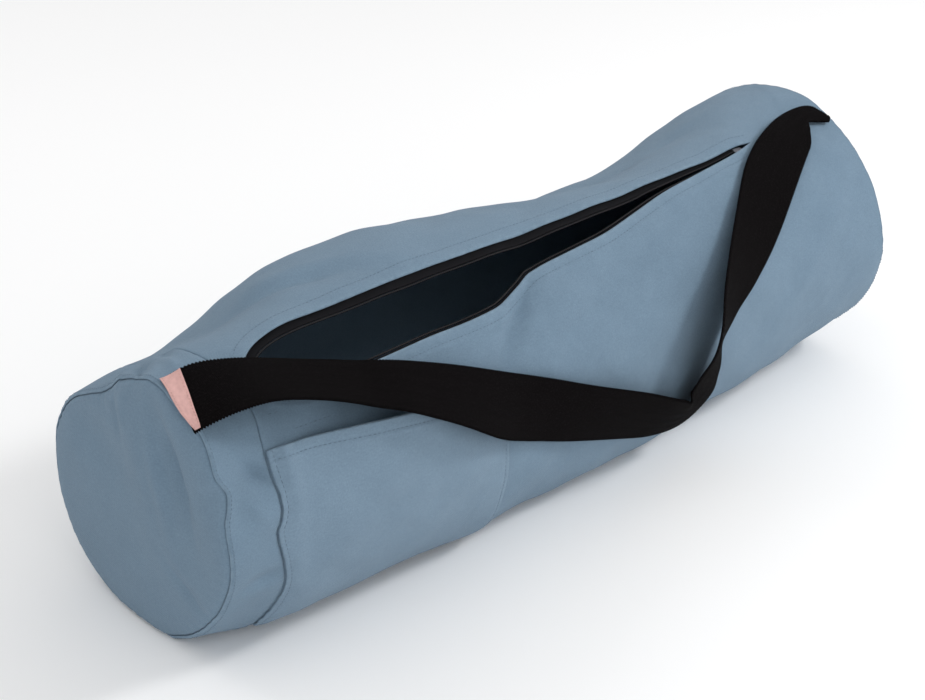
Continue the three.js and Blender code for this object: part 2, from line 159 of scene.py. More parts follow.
@dataclass(frozen=True)
class SeamRow:
    """How far a seam strays towards the right end at an angle, in millimetres."""

    angle: float
    shift: float


@dataclass(frozen=True)
class RippleRow:
    """A slow ripple of the cloth: waves round the bag, waves along it, phase, height."""

    around: int
    along: float
    phase: float
    height: float


LOBES = (
    LobeRow("shoulder", 120, 62),
    LobeRow("back", 172, 48),
    LobeRow("front", 0, 50),
    LobeRow("belly", -48, 52),
    LobeRow("heel", -128, 60),
)

SECTIONS = (
    SectionRow(0.0, -0.34, -0.11, -0.02, -0.05, 0.04),
    SectionRow(0.06, -0.29, -0.05, 0.0, 0.04, 0.03),
    SectionRow(0.12, -0.27, -0.02, 0.01, 0.055, 0.02),
    SectionRow(0.16, -0.19, 0.0, 0.01, 0.06, 0.01),
    SectionRow(0.21, -0.05, 0.01, 0.01, 0.065, 0.0),
    SectionRow(0.32, 0.02, 0.01, 0.02, 0.105, 0.0),
    SectionRow(0.42, -0.03, 0.01, 0.02, 0.12, 0.01),
    SectionRow(0.52, -0.14, 0.02, 0.02, 0.13, 0.02),
    SectionRow(0.62, -0.26, 0.03, 0.01, 0.125, 0.03),
    SectionRow(0.72, -0.29, 0.03, 0.0, 0.08, 0.03),
    SectionRow(0.81, -0.2, 0.02, 0.0, 0.05, 0.02),
    SectionRow(0.9, -0.04, 0.0, 0.0, 0.0, 0.0),
    SectionRow(1.0, 0.02, 0.0, 0.0, -0.05, -0.01),
)

# Main folds of the cloth: across is the place along the bag, up is the angle
FOLDS = (
    FoldRow(0.22, 95, 0.42, 0.12, -27, -0.04),
    FoldRow(0.405, 38, 0.4, 0.13, 41, -0.045),
    FoldRow(0.45, 33, 0.4, 0.13, 41, 0.022),
    FoldRow(0.6, 41, 0.9, 0.16, 15, -0.022),
    FoldRow(0.035, 27, 0.3, 0.17, 60, -0.05),
    FoldRow(0.05, -38, 0.3, 0.17, 70, -0.04),
)

# Finer creases that only the dressed cloth has
CREASES = (
    FoldRow(0.405, 38, 0.40, 0.030, 41, -0.028),
    FoldRow(0.424, 36, 0.34, 0.034, 41, 0.019),
    FoldRow(0.386, 40, 0.26, 0.034, 43, 0.012),
    FoldRow(0.52, 33, 0.50, 0.045, 15, -0.016),
    FoldRow(0.64, 45, 0.55, 0.05, 15, -0.016),
    FoldRow(0.60, 47, 0.50, 0.05, 15, 0.014),
    FoldRow(0.222, 95, 0.33, 0.045, -27, -0.028),
    FoldRow(0.25, 99, 0.34, 0.05, -27, 0.016),
    FoldRow(0.045, 26, 0.13, 0.055, -50, -0.050),
    FoldRow(0.032, 15, 0.13, 0.05, -50, 0.030),
    FoldRow(0.036, -14, 0.12, 0.05, 12, -0.030),
    FoldRow(0.012, 86, 0.16, 0.045, 62, -0.040),
    FoldRow(0.034, 79, 0.17, 0.045, 74, 0.030),
    FoldRow(0.050, 92, 0.20, 0.045, 66, -0.034),
    FoldRow(0.020, 104, 0.20, 0.05, 50, 0.030),
    FoldRow(0.86, 8, 0.45, 0.07, 40, 0.007),
    FoldRow(0.80, 110, 0.50, 0.07, -20, -0.010),
    FoldRow(0.50, 140, 0.60, 0.07, 8, -0.010),
)

# Dents in the left end disc: across and up are shares of the radius from its centre
DISC_FOLDS = (
    FoldRow(-0.42, 0.42, 0.5, 0.16, 62, -0.06),
    FoldRow(-0.18, 0.36, 0.45, 0.15, 80, 0.035),
    FoldRow(0.3, 0.28, 0.5, 0.2, 20, -0.05),
)

DISC_CREASES = (
    FoldRow(-0.50, 0.40, 0.34, 0.05, 68, -0.036),
    FoldRow(-0.34, 0.30, 0.36, 0.05, 76, 0.028),
    FoldRow(-0.62, -0.45, 0.26, 0.045, 40, -0.026),
    FoldRow(0.35, 0.55, 0.30, 0.06, 12, -0.024),
    FoldRow(0.10, 0.62, 0.20, 0.05, 70, -0.026),
    FoldRow(-0.02, 0.66, 0.18, 0.05, 80, 0.020),
)

OPENING = (
    OpeningRow(0.0, 54, 54),
    OpeningRow(0.03, 49.5, 65),
    OpeningRow(0.08, 45.5, 71.5),
    OpeningRow(0.16, 44.5, 72.5),
    OpeningRow(0.28, 45, 72),
    OpeningRow(0.4, 45, 71),
    OpeningRow(0.455, 49.5, 70.5),
    OpeningRow(0.49, 53, 70.5),
    OpeningRow(0.64, 55.5, 70),
    OpeningRow(0.78, 62, 70.5),
    OpeningRow(0.9, 65.5, 70.5),
    OpeningRow(0.975, 67.2, 70.4),
    OpeningRow(1.0, 68.8, 68.8),
)

POCKET_TOP = (
    PocketRow(0.0, 31.5, 0.0),
    PocketRow(0.025, 31.4, 0.02),
    PocketRow(0.06, 31.1, 0.17),
    PocketRow(0.1, 30.8, 0.05),
    PocketRow(0.15, 30.5, 0.12),
    PocketRow(0.4, 27, 0.85),
    PocketRow(0.6, 24.5, 1.0),
    PocketRow(0.85, 20, 0.4),
    PocketRow(1.0, 17.5, 0.0),
)

STRAP = (
    StrapRow(0.0, 57.5, 0.0, -4, 0, 1),
    StrapRow(0.02, 57, 0.1, -8, 4, 1),
    StrapRow(0.047, 54.5, 0.14, -16, 16, 1),
    StrapRow(0.085, 51, 0.12, -22, 28, 1),
    StrapRow(0.13, 45.5, 0.08, -24, 34, 1),
    StrapRow(0.175, 39.5, 0.05, -24, 34, 1),
    StrapRow(0.225, 32, 0.04, -24, 30, 1),
    StrapRow(0.285, 23, 0.02, -24, 22, 1),
    StrapRow(0.36, 11, 0.0, -25, 6, 1),
    StrapRow(0.44, -1, 0.0, -26, -5, 1),
    StrapRow(0.53, -13, 0.0, -24, -9, 1),
    StrapRow(0.6, -23, 0.0, -8, -9, 1),
    StrapRow(0.643, -27, 0.03, 24, -6, 1),
    StrapRow(0.657, -20, 0.04, 54, -6, 1),
    StrapRow(0.658, -9.5, 0.05, 60, -18, 1),
    StrapRow(0.665, 2, 0.06, 58, -34, 1),
    StrapRow(0.688, 13, 0.05, 48, -26, 1),
    StrapRow(0.727, 23, 0.04, 42, -14, 1),
    StrapRow(0.775, 34.5, 0.02, 40, -5, 1),
    StrapRow(0.83, 48.5, 0.02, 40, 0, 1),
    StrapRow(0.873, 57.5, 0.03, 42, 0, 0.95),
    StrapRow(0.908, 63, 0.05, 30, -2, 0.8),
    StrapRow(0.945, 68, 0.05, -10, 0, 0.55),
    StrapRow(0.9654, 69.4, 0.04, -48, 0, 0.49),
    StrapRow(0.978, 67, 0.02, -52, 0, 0.32),
    StrapRow(0.9885, 63.8, 0.0, -50, 0, 0.12),
)

LABEL = (
    LabelRow(0.0, -1.0, 13.6),
    LabelRow(0.35, -2.6, 10.8),
    LabelRow(0.7, -2.4, 8.0),
    LabelRow(0.9, -0.4, 6.8),
    LabelRow(1.0, 1.4, 6.0),
)

# How the seams at the left end and between cuff and body stray from a straight ring
LEFT_END_SEAM = (
    SeamRow(-180, 0),
    SeamRow(-60, 0),
    SeamRow(-35, -0.8),
    SeamRow(-12, 0.3),
    SeamRow(12, 0.4),
    SeamRow(20, 5.5),
    SeamRow(24, 6.6),
    SeamRow(30, 2.2),
    SeamRow(40, 4.4),
    SeamRow(47, 4.8),
    SeamRow(55, 0.4),
    SeamRow(70, 0),
    SeamRow(105, 1.4),
    SeamRow(180, 0),
)

CUFF_SEAM = (
    SeamRow(-180, 0),
    SeamRow(-70, 0),
    SeamRow(-44, 0.7),
    SeamRow(-34, 1.2),
    SeamRow(-17, 1.6),
    SeamRow(-9, -1.2),
    SeamRow(-2, -4.0),
    SeamRow(4, -4.8),
    SeamRow(9, -0.4),
    SeamRow(16, 1.0),
    SeamRow(26, 0.6),
    SeamRow(36, 2.7),
    SeamRow(46, 5.2),
    SeamRow(58, 2.6),
    SeamRow(80, 0.2),
    SeamRow(120, 1.0),
    SeamRow(180, 0),
)

RIPPLES = (
    RippleRow(3, 4.3, 0.4, 0.00060),
    RippleRow(5, -7.1, 1.9, 0.00052),
    RippleRow(9, 5.7, 3.1, 0.00038),
    RippleRow(7, 11.9, 5.2, 0.00032),
    RippleRow(14, -13.3, 2.6, 0.00020),
    RippleRow(23, 9.1, 0.9, 0.00012),
)

# Distances from a seam at which its groove is modelled
SEAM_STEPS = (0.0, 0.0003, 0.0007, 0.0013, 0.0021, 0.0031, 0.0043)

# The short seam that slants over the right shoulder: places along the bag and round it
SLANT_SEAM = ((0.3200, 101.6), (0.3120, 94.8), (0.3014, 85.1), (0.2911, 75.4), (0.2850, 69.5))


def read_column(rows: Sequence[Any], places: Array, column: str, place: Array) -> Array:
    """Read one column of a table between its rows, as a smooth cubic.

    Args:
        rows: The table's rows.
        places: Where each row stands.
        column: Name of the column.
        place: Where to read it.

    Returns:
        The column's values at the places asked for.
    """
    values = np.array([getattr(row, column) for row in rows], dtype=float)
    spots = np.asarray(places, dtype=float)
    at = np.asarray(place, dtype=float)
    last = len(values) - 1
    ahead = np.minimum(np.arange(last + 1) + 1, last)
    behind = np.maximum(np.arange(last + 1) - 1, 0)
    slopes = (values[ahead] - values[behind]) / (spots[ahead] - spots[behind])
    row = np.clip(np.searchsorted(spots, at, side="left") - 1, 0, last - 1)
    span = spots[row + 1] - spots[row]
    t = np.clip((at - spots[row]) / span, 0.0, 1.0)
    rise = 3 * t**2 - 2 * t**3
    start_bend = (t**3 - 2 * t**2 + t) * slopes[row] * span
    end_bend = (t**3 - t**2) * slopes[row + 1] * span
    return values[row] + (values[row + 1] - values[row]) * rise + start_bend + end_bend


def read_along(rows: Sequence[Any], column: str, along: Array) -> Array:
    """Read a column of a table whose rows stand at their own `along`."""
    return read_column(rows, np.array([row.along for row in rows]), column, along)


def turn_between(angle: Array, other: float) -> Array:
    """Difference between two angles, from -180 to 180 degrees."""
    return (np.asarray(angle) - other + 180.0) % 360.0 - 180.0


def fold_height(row: FoldRow, sideways: Array, upwards: Array) -> Array:
    """Height of one fold at a distance from its middle.

    Args:
        row: The fold.
        sideways: Distance along the bag or across a disc, in radii.
        upwards: Distance round the bag or up a disc, in radii.

    Returns:
        The fold's height as a share of the bag's radius.
    """
    slant = math.radians(row.slant)
    lengthways = sideways * math.cos(slant) + upwards * math.sin(slant)
    across = upwards * math.cos(slant) - sideways * math.sin(slant)
    return row.depth * np.exp(-((lengthways / row.length) ** 2 + (across / row.width) ** 2))


def bell(distance: Array, width: float) -> Array:
    """A smooth bump that is 1 at no distance and falls off over its width."""
    return np.exp(-((distance / width) ** 2))


def gathers(theta: Array, count: int = 64, drift: float = 1.7, drifts: int = 5) -> Array:
    """Small uneven gathers of cloth round a seam, at angles in radians."""
    return np.sin(count * theta + drift * np.sin(drifts * theta))


def vectors(*parts: Array) -> Array:
    """Stack broadcast coordinates into points."""
    return np.stack(np.broadcast_arrays(*parts), axis=-1)


def outwards(theta: Array) -> Array:
    """Directions straight out from the bag's axis, at angles in radians."""
    return vectors(np.zeros_like(theta), -np.cos(theta), np.sin(theta))


@dataclass(frozen=True)
class BagForm:
    """The filled-out form of the bag that every piece of cloth follows."""

    length: float = 0.660
    radius: float = 0.110
    rest_width: float = 0.072
    wall: float = 0.0016
    gap: float = 0.0003
    cuff_width: float = 0.040
    seam_allowance: float = 0.008
    groove_width: float = 0.004
    groove_reach: float = 0.0027
    groove_depth: float = 0.0011
    opening_inset: float = 0.002
    opening_right_margin: float = 0.094
    hem_width: float = 0.012
    hem_rise: float = 0.0005
    pocket_length: float = 0.194
    pocket_bottom: float = -53.0
    pocket_gape: float = 0.017
    layer_gap: float = 0.00072
    cover_margin: float = 0.012
    pucker: float = 0.00030
    pucker_reach: float = 0.009
    stray_reach: float = 0.017
    rim_bulge: float = 0.35
    seam_wear: float = 0.0018
    seam_wear_share: float = 0.8
    stitch_dimple: float = 0.75
    stitch_width: float = 0.0012
    hem_step: float = 0.0005
    hem_pull: float = 0.18
    pull_step: float = 0.013
    pull_drift: float = 31.0
    gape_power: float = 2.2

    @property
    def axis_height(self) -> float:
        """Height of the bag's axis over the floor."""
        return math.sqrt(self.radius**2 - (self.rest_width / 2) ** 2)

    @property
    def left_end(self) -> float:
        """Place of the left end seam."""
        return -self.length / 2

    @property
    def right_end(self) -> float:
        """Place of the right end seam."""
        return self.length / 2

    @property
    def cuff_seam(self) -> float:
        """Place of the seam between cuff and body."""
        return self.left_end + self.cuff_width

    @property
    def opening_start(self) -> float:
        """Left end of the opening."""
        return self.cuff_seam + self.groove_width + self.opening_inset

    @property
    def opening_end(self) -> float:
        """Right end of the opening."""
        return self.right_end - self.opening_right_margin

    @property
    def pocket_start(self) -> float:
        """Left edge of the pocket."""
        return self.cuff_seam + self.gap

    @property
    def pocket_end(self) -> float:
        """Right edge of the pocket."""
        return self.pocket_start + self.pocket_length

    @property
    def turn_per_metre(self) -> float:
        """Degrees round the bag for each metre of cloth."""
        return math.degrees(1.0 / self.radius)

    def smooth_radius(self, x: Array, angle: Array) -> Array:
        """Radius of the cloth's outer face with its main folds alone.

        Args:
            x: Places along the bag.
            angle: Angles round it, in degrees.

        Returns:
            The radius at each place.
        """
        along = (np.asarray(x, dtype=float) - self.left_end) / self.length
        share = np.ones(np.broadcast(along, angle).shape)
        for lobe in LOBES:
            offset = np.abs(turn_between(angle, lobe.angle))
            bulge = np.where(offset < lobe.spread, (1 + np.cos(np.pi * offset / lobe.spread)) / 2, 0)
            share = share + read_along(SECTIONS, lobe.name, along) * bulge
        for fold in FOLDS:
            share = share + self._fold(fold, along, angle)
        return self.radius * share

    def _fold(self, fold: FoldRow, along: Array, angle: Array) -> Array:
        """Height of a fold on the side of the bag, as a share of the radius."""
        sideways = (along - fold.across) * (self.length / self.radius)
        return fold_height(fold, sideways, np.radians(turn_between(angle, fold.up)))

    def relief(self, x: Array, angle: Array) -> Array:
        """Fine relief of the dressed cloth: creases, slow ripples and seam puckers.

        Args:
            x: Places along the bag.
            angle: Angles round it, in degrees.

        Returns:
            Height over the smooth form at each place.
        """
        along = (np.asarray(x, dtype=float) - self.left_end) / self.length
        theta = np.radians(angle)
        height = np.zeros(np.broadcast(along, angle).shape)
        for crease in CREASES:
            height = height + self.radius * self._fold(crease, along, angle)
        for row in RIPPLES:
            wave = np.sin(row.around * theta + 2 * np.pi * row.along * along + row.phase)
            height = height + row.height * wave
        bunch = gathers(theta) * (0.6 + 0.4 * np.sin(7 * theta + 1.0))
        for seam in (self.left_end, self.cuff_seam, self.right_end):
            near = np.exp(-np.abs(np.asarray(x) - seam) / self.pucker_reach)
            height = height + self.pucker * near * bunch
        return height

    def seam_shift(self, x: Array, angle: Array) -> Array:
        """How far the cloth strays along the bag near its two left seams.

        Args:
            x: Places along the bag.
            angle: Angles round it, in degrees.

        Returns:
            The shift towards the right end.
        """
        turned = turn_between(angle, 0.0)
        shift = np.zeros(np.broadcast(x, angle).shape)
        for rows, seam in ((LEFT_END_SEAM, self.left_end), (CUFF_SEAM, self.cuff_seam)):
            spots = np.array([row.angle for row in rows], dtype=float)
            stray = read_column(rows, spots, "shift", turned) / 1000
            shift = shift + stray * bell(np.asarray(x) - seam, self.stray_reach)
        return shift

    def point(self, x: Array, angle: Array, drop: Array, share: Array = 1.0) -> Array:
        """A point below the cloth's outer face, flattened where the bag rests.

        Args:
            x: Places along the bag.
            angle: Angles round it, in degrees.
            drop: Depth under the cloth's outer face.
            share: Share of the radius, below 1 on an end disc.

        Returns:
            Points with one coordinate axis more than the places.
        """
        theta = np.radians(angle)
        outer = self.smooth_radius(x, angle) + self.relief(x, angle)
        reach = (outer - drop) * share
        height = np.maximum(self.axis_height + reach * np.sin(theta), drop)
        shift = self.seam_shift(x, angle) * np.asarray(share) ** 6
        return vectors(x + shift, -reach * np.cos(theta), height)

    def around(self, points: Array) -> tuple[Array, Array, Array]:
        """Heights of points over the bag's axis, distances from it and angles round it."""
        rise = points[..., 2] - self.axis_height
        return rise, np.hypot(points[..., 1], rise), np.degrees(np.arctan2(rise, -points[..., 1]))

    def worn_seam(self, distance: Array) -> Array:
        """Wear of the cloth at a distance from a seam."""
        return np.exp(-distance / self.seam_wear) * self.seam_wear_share

    def groove(self, distance: Array) -> Array:
        """Depth of the rounded groove at a distance from a seam."""
        share = np.clip(1 - np.asarray(distance) / self.groove_reach, 0, 1)
        return self.groove_depth * (1 - np.sqrt(1 - share**2))

    def lips(self, x: Array) -> dict[Lip, Array]:
        """Angles of both lips of the opening, which meet past its ends."""
        share = (np.asarray(x) - self.opening_start) / (self.opening_end - self.opening_start)
        at = np.clip(share, 0, 1)
        return {lip: read_along(OPENING, lip.value, at) for lip in Lip}

    def half_opening(self, x: Array) -> Array:
        """Half the opening's width at a place."""
        lips = self.lips(x)
        return (lips[Lip.BACK] - lips[Lip.FRONT]) / self.turn_per_metre / 2

    def hem_share(self, x: Array) -> Array:
        """How much of the hem shows: 0 past the opening's ends, 1 along most of it."""
        from_end = np.minimum(np.asarray(x) - self.opening_start, self.opening_end - np.asarray(x))
        return np.clip(from_end / (2 * self.hem_width), 0, 1)

    def hem_height(self, x: Array, distance: Array, stitch: float) -> Array:
        """Height of a hem over the cloth, with a dimple along its stitches.

        Args:
            x: Places along the bag.
            distance: Distance from the lip.
            stitch: Distance of the stitches from the lip.

        Returns:
            The hem's height at each place.
        """
        step = 1 / (1 + np.exp((distance - self.hem_width) / self.hem_step))
        dimple = self.stitch_dimple * bell(distance - stitch, self.stitch_width)
        phase = 2 * np.pi * np.asarray(x) / self.pull_step + 2 * np.sin(x * self.pull_drift)
        pull = self.hem_pull * np.sin(phase)
        return self.hem_rise * self.hem_share(x) * (step * (1 + pull) - dimple)

    def pocket_top(self, share: Array) -> Array:
        """Angle of the pocket's top edge at a share of its length."""
        return read_along(POCKET_TOP, "angle", share)

    def pocket_stand_off(self, share: Array, angle: Array) -> Array:
        """How far the pocket's inner face stands off the body.

        Args:
            share: Share of the pocket's length.
            angle: Angles round the bag, in degrees.

        Returns:
            The stand-off at each place.
        """
        upwards = (angle - self.pocket_bottom) / (self.pocket_top(share) - self.pocket_bottom)
        gape = np.maximum(read_along(POCKET_TOP, "gape", share), 0)
        return self.layer_gap + self.pocket_gape * gape * np.maximum(upwards, 0) ** self.gape_power

    def cover_height(self, x: Array, angle: Array) -> Array:
        """Height of what covers the body: the pocket's wall a little past its edges."""
        past = self.cover_margin * self.turn_per_metre
        share = np.clip((x - self.pocket_start) / self.pocket_length, 0, 1)
        top = self.pocket_top(share)
        beside = (x < self.pocket_start - self.cover_margin) | (x > self.pocket_end + self.cover_margin)
        outside = beside | (angle > top + past) | (angle < self.pocket_bottom - past)
        covered = self.pocket_stand_off(share, np.minimum(angle, top)) + self.wall
        return np.where(outside, 0.0, covered)


@dataclass
class Shell:
    """A closed wall of cloth between an outer and an inner grid of points.

    Grids have a row for each station along the piece and a column for each place
    across it. Rims are the middles of rounded edges, or None for a square edge.
    """

    outer: Array
    inner: Array
    pattern: Array
    first_row: Array | None = None
    last_row: Array | None = None
    first_column: Array | None = None
    last_column: Array | None = None
    joined: Array | None = None
    wear: Array | None = None

    def mesh(self, name: str) -> bpy.types.Mesh:
        """Build the wall as one closed mesh.

        Args:
            name: Name of the mesh.

        Returns:
            The mesh, with its pattern in metres as a UV map and its wear.
        """
        rows, columns = self.outer.shape[:2]
        outer_ids = np.arange(rows * columns).reshape(rows, columns)
        inner_ids = outer_ids + rows * columns
        wear = np.zeros((rows, columns)) if self.wear is None else self.wear
        joined = np.zeros(rows, dtype=bool) if self.joined is None else self.joined
        points = [self.outer.reshape(-1, 3), self.inner.reshape(-1, 3)]
        patterns = [self.pattern.reshape(-1, 2)] * 2
        wears = [wear.reshape(-1), np.zeros(rows * columns)]
        quads = [self._grid(outer_ids), self._grid(inner_ids)]
        every = np.ones(columns - 1, dtype=bool)
        open_steps = ~(joined[:-1] & joined[1:])
        edges = (
            (self.first_row, outer_ids[0], inner_ids[0], self.pattern[0], every),
            (self.last_row, outer_ids[-1], inner_ids[-1], self.pattern[-1], every),
            (self.first_column, outer_ids[:, 0], inner_ids[:, 0], self.pattern[:, 0], open_steps),
            (self.last_column, outer_ids[:, -1], inner_ids[:, -1], self.pattern[:, -1], open_steps),
        )
        total = 2 * rows * columns
        for middle, outer_edge, inner_edge, pattern, kept in edges:
            rungs = [outer_edge, inner_edge]
            if middle is not None:
                rungs.insert(1, total + np.arange(len(middle)))
                points.append(middle)
                patterns.append(pattern)
                wears.append(np.ones(len(middle)))
                total += len(middle)
            for a, b in zip(rungs, rungs[1:]):
                quads.append(np.stack([a[:-1], a[1:], b[1:], b[:-1]], axis=1)[kept])
        mesh = bpy.data.meshes.new(name)
        mesh.from_pydata(np.concatenate(points).tolist(), [], np.concatenate(quads).tolist())
        corners = np.zeros(len(mesh.loops), dtype=np.int32)
        mesh.loops.foreach_get("vertex_index", corners)
        layer = mesh.uv_layers.new(name="cloth")
        layer.data.foreach_set("uv", np.concatenate(patterns)[corners].ravel())
        worn = mesh.attributes.new("wear", "FLOAT", "POINT")
        worn.data.foreach_set("value", np.concatenate(wears))
        return close_mesh(mesh)

    def piece(
        self, name: str, finish: bpy.types.Material, slot: Slot, node: str
    ) -> bpy.types.Object:
        """Build the wall and put it in the scene for a CAD node."""
        return place_piece(name, self.mesh(name), finish, [node])

    @staticmethod
    def _grid(ids: Array) -> Array:
        """Quads between all neighbours of a grid of point numbers."""
        corners = [ids[:-1, :-1], ids[:-1, 1:], ids[1:, 1:], ids[1:, :-1]]
        return np.stack([corner.reshape(-1) for corner in corners], axis=1)


def close_mesh(mesh: bpy.types.Mesh) -> bpy.types.Mesh:
    """Merge a mesh's doubles, close its corners and turn its faces outwards.

    Args:
        mesh: The mesh to finish.

    Returns:
        The same mesh, shaded smooth.
    """
    work = bmesh.new()
    work.from_mesh(mesh)
    bmesh.ops.remove_doubles(work, verts=work.verts, dist=MERGE_DISTANCE)
    loose = [vertex for vertex in work.verts if not vertex.link_faces]
    bmesh.ops.delete(work, geom=loose, context="VERTS")
    bmesh.ops.holes_fill(work, edges=[edge for edge in work.edges if edge.is_boundary], sides=4)
    bmesh.ops.recalc_face_normals(work, faces=work.faces)
    for face in work.faces:
        face.smooth = True
    work.to_mesh(mesh)
    work.free()
    return mesh


def add_object(name: str, data: Any) -> bpy.types.Object:
    """Put a mesh, a light or a camera in the scene."""
    item = bpy.data.objects.new(name, data)
    bpy.context.scene.collection.objects.link(item)
    return item


def place_piece(
    name: str, mesh: bpy.types.Mesh, finish: bpy.types.Material, nodes: Sequence[str] = ()
) -> bpy.types.Object:
    """Put a finished mesh in the scene as a piece of the bag.

    Args:
        name: Name of the piece.
        mesh: Its mesh, already in place.
        finish: Its material.
        nodes: CAD nodes that the piece stands for.

    Returns:
        The piece.
    """
    piece = add_object(name, mesh)
    mesh.materials.clear()
    mesh.materials.append(finish)
    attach(piece, "root")
    if nodes:
        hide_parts(*nodes)
    LOG.info("%s: %d faces", name, len(mesh.polygons))
    return piece


def feed(tree: bpy.types.NodeTree, socket: bpy.types.NodeSocket, value: Any) -> None:
    """Give an input socket a constant or link another socket to it."""
    if isinstance(value, bpy.types.NodeSocket):
        tree.links.new(value, socket)
    else:
        socket.default_value = value


def add_node(
    tree: bpy.types.NodeTree, kind: str, inputs: dict[Any, Any] | None, settings: dict[str, Any]
) -> bpy.types.Node:
    """Add a node to a tree.

    Args:
        tree: The tree.
        kind: The node's full type name.
        inputs: Constants or sockets for its inputs, by name or number.
        settings: Properties of the node, set before its inputs.

    Returns:
        The node.
    """
    node = tree.nodes.new(kind)
    for key, value in settings.items():
        setattr(node, key, value)
    for key, value in (inputs or {}).items():
        feed(tree, node.inputs[key], value)
    return node


@dataclass
class ShaderTree:
    """A material's node tree, built one node at a time."""

    name: str
    material: bpy.types.Material = field(init=False)
    surface: bpy.types.Node = field(init=False)

    def __post_init__(self) -> None:
        """Start the material with its surface shader."""
        self.material = bpy.data.materials.new(self.name)
        self.material.use_nodes = True
        self.surface = self.material.node_tree.nodes["Principled BSDF"]

    def add(self, kind: str, inputs: dict[Any, Any] | None = None, **settings: Any) -> bpy.types.Node:
        """Add a node.

        Args:
            kind: The node's type without its ShaderNode prefix.
            inputs: Constants or sockets for its inputs, by name or number.
            settings: Properties of the node.

        Returns:
            The node.
        """
        return add_node(self.material.node_tree, "ShaderNode" + kind, inputs, settings)

    def math(self, operation: str, *values: Any) -> bpy.types.NodeSocket:
        """Result of a math node on constants or sockets."""
        return self.add("Math", dict(enumerate(values)), operation=operation).outputs[0]

    def mix(self, share: Any, first: Any, second: Any, kind: str = "MIX") -> bpy.types.NodeSocket:
        """Result of mixing two colours by a share."""
        inputs = {0: share, 6: first, 7: second}
        return self.add("Mix", inputs, data_type="RGBA", blend_type=kind).outputs[2]

    def noise(self, vector: Any, scale: float, detail: float = 3.0) -> bpy.types.NodeSocket:
        """Value of a noise texture."""
        return self.add("TexNoise", {"Vector": vector, "Scale": scale, "Detail": detail}).outputs[0]

    def spread(
        self, value: Any, low: float, high: float, bottom: float = 0.0, top: float = 1.0
    ) -> bpy.types.NodeSocket:
        """A value stretched so that low becomes the bottom and high becomes the top."""
        return self.add("MapRange", {0: value, 1: low, 2: high, 3: bottom, 4: top}).outputs[0]

    def ridges(self, place: Any) -> bpy.types.NodeSocket:
        """Rounded ridges, one for each unit of a place."""
        return self.math("ABSOLUTE", self.math("SINE", self.math("MULTIPLY", place, math.pi)))

    def stretch(self, vector: Any, scale: tuple[float, float, float]) -> bpy.types.NodeSocket:
        """A vector scaled on each axis."""
        return self.add("Mapping", {"Vector": vector, "Scale": scale}).outputs[0]

    def pattern(self) -> tuple[Any, Any, Any]:
        """The piece's own pattern coordinates: the vector, along and across."""
        vector = self.add("UVMap", uv_map="cloth").outputs[0]
        parts = self.add("SeparateXYZ", {0: vector})
        return vector, parts.outputs[0], parts.outputs[1]

    def place(self) -> bpy.types.NodeSocket:
        """Object coordinates, in metres."""
        return self.add("TexCoord").outputs["Object"]

    def bump(self, height: Any, distance: float, strength: float = 1.0, below: Any = None) -> Any:
        """Normal of a bump, over another bump where one is given."""
        inputs = {"Height": height, "Distance": distance, "Strength": strength}
        if below is not None:
            inputs["Normal"] = below
        return self.add("Bump", inputs).outputs[0]

    def finish(self, **sockets: Any) -> bpy.types.Material:
        """Set the surface shader's sockets and return the material."""
        for key, value in sockets.items():
            feed(self.material.node_tree, self.surface.inputs[key.replace("_", " ")], value)
        return self.material


def rgba(colour: Colour) -> tuple[float, float, float, float]:
    """A colour with full alpha."""
    return (*colour, 1.0)


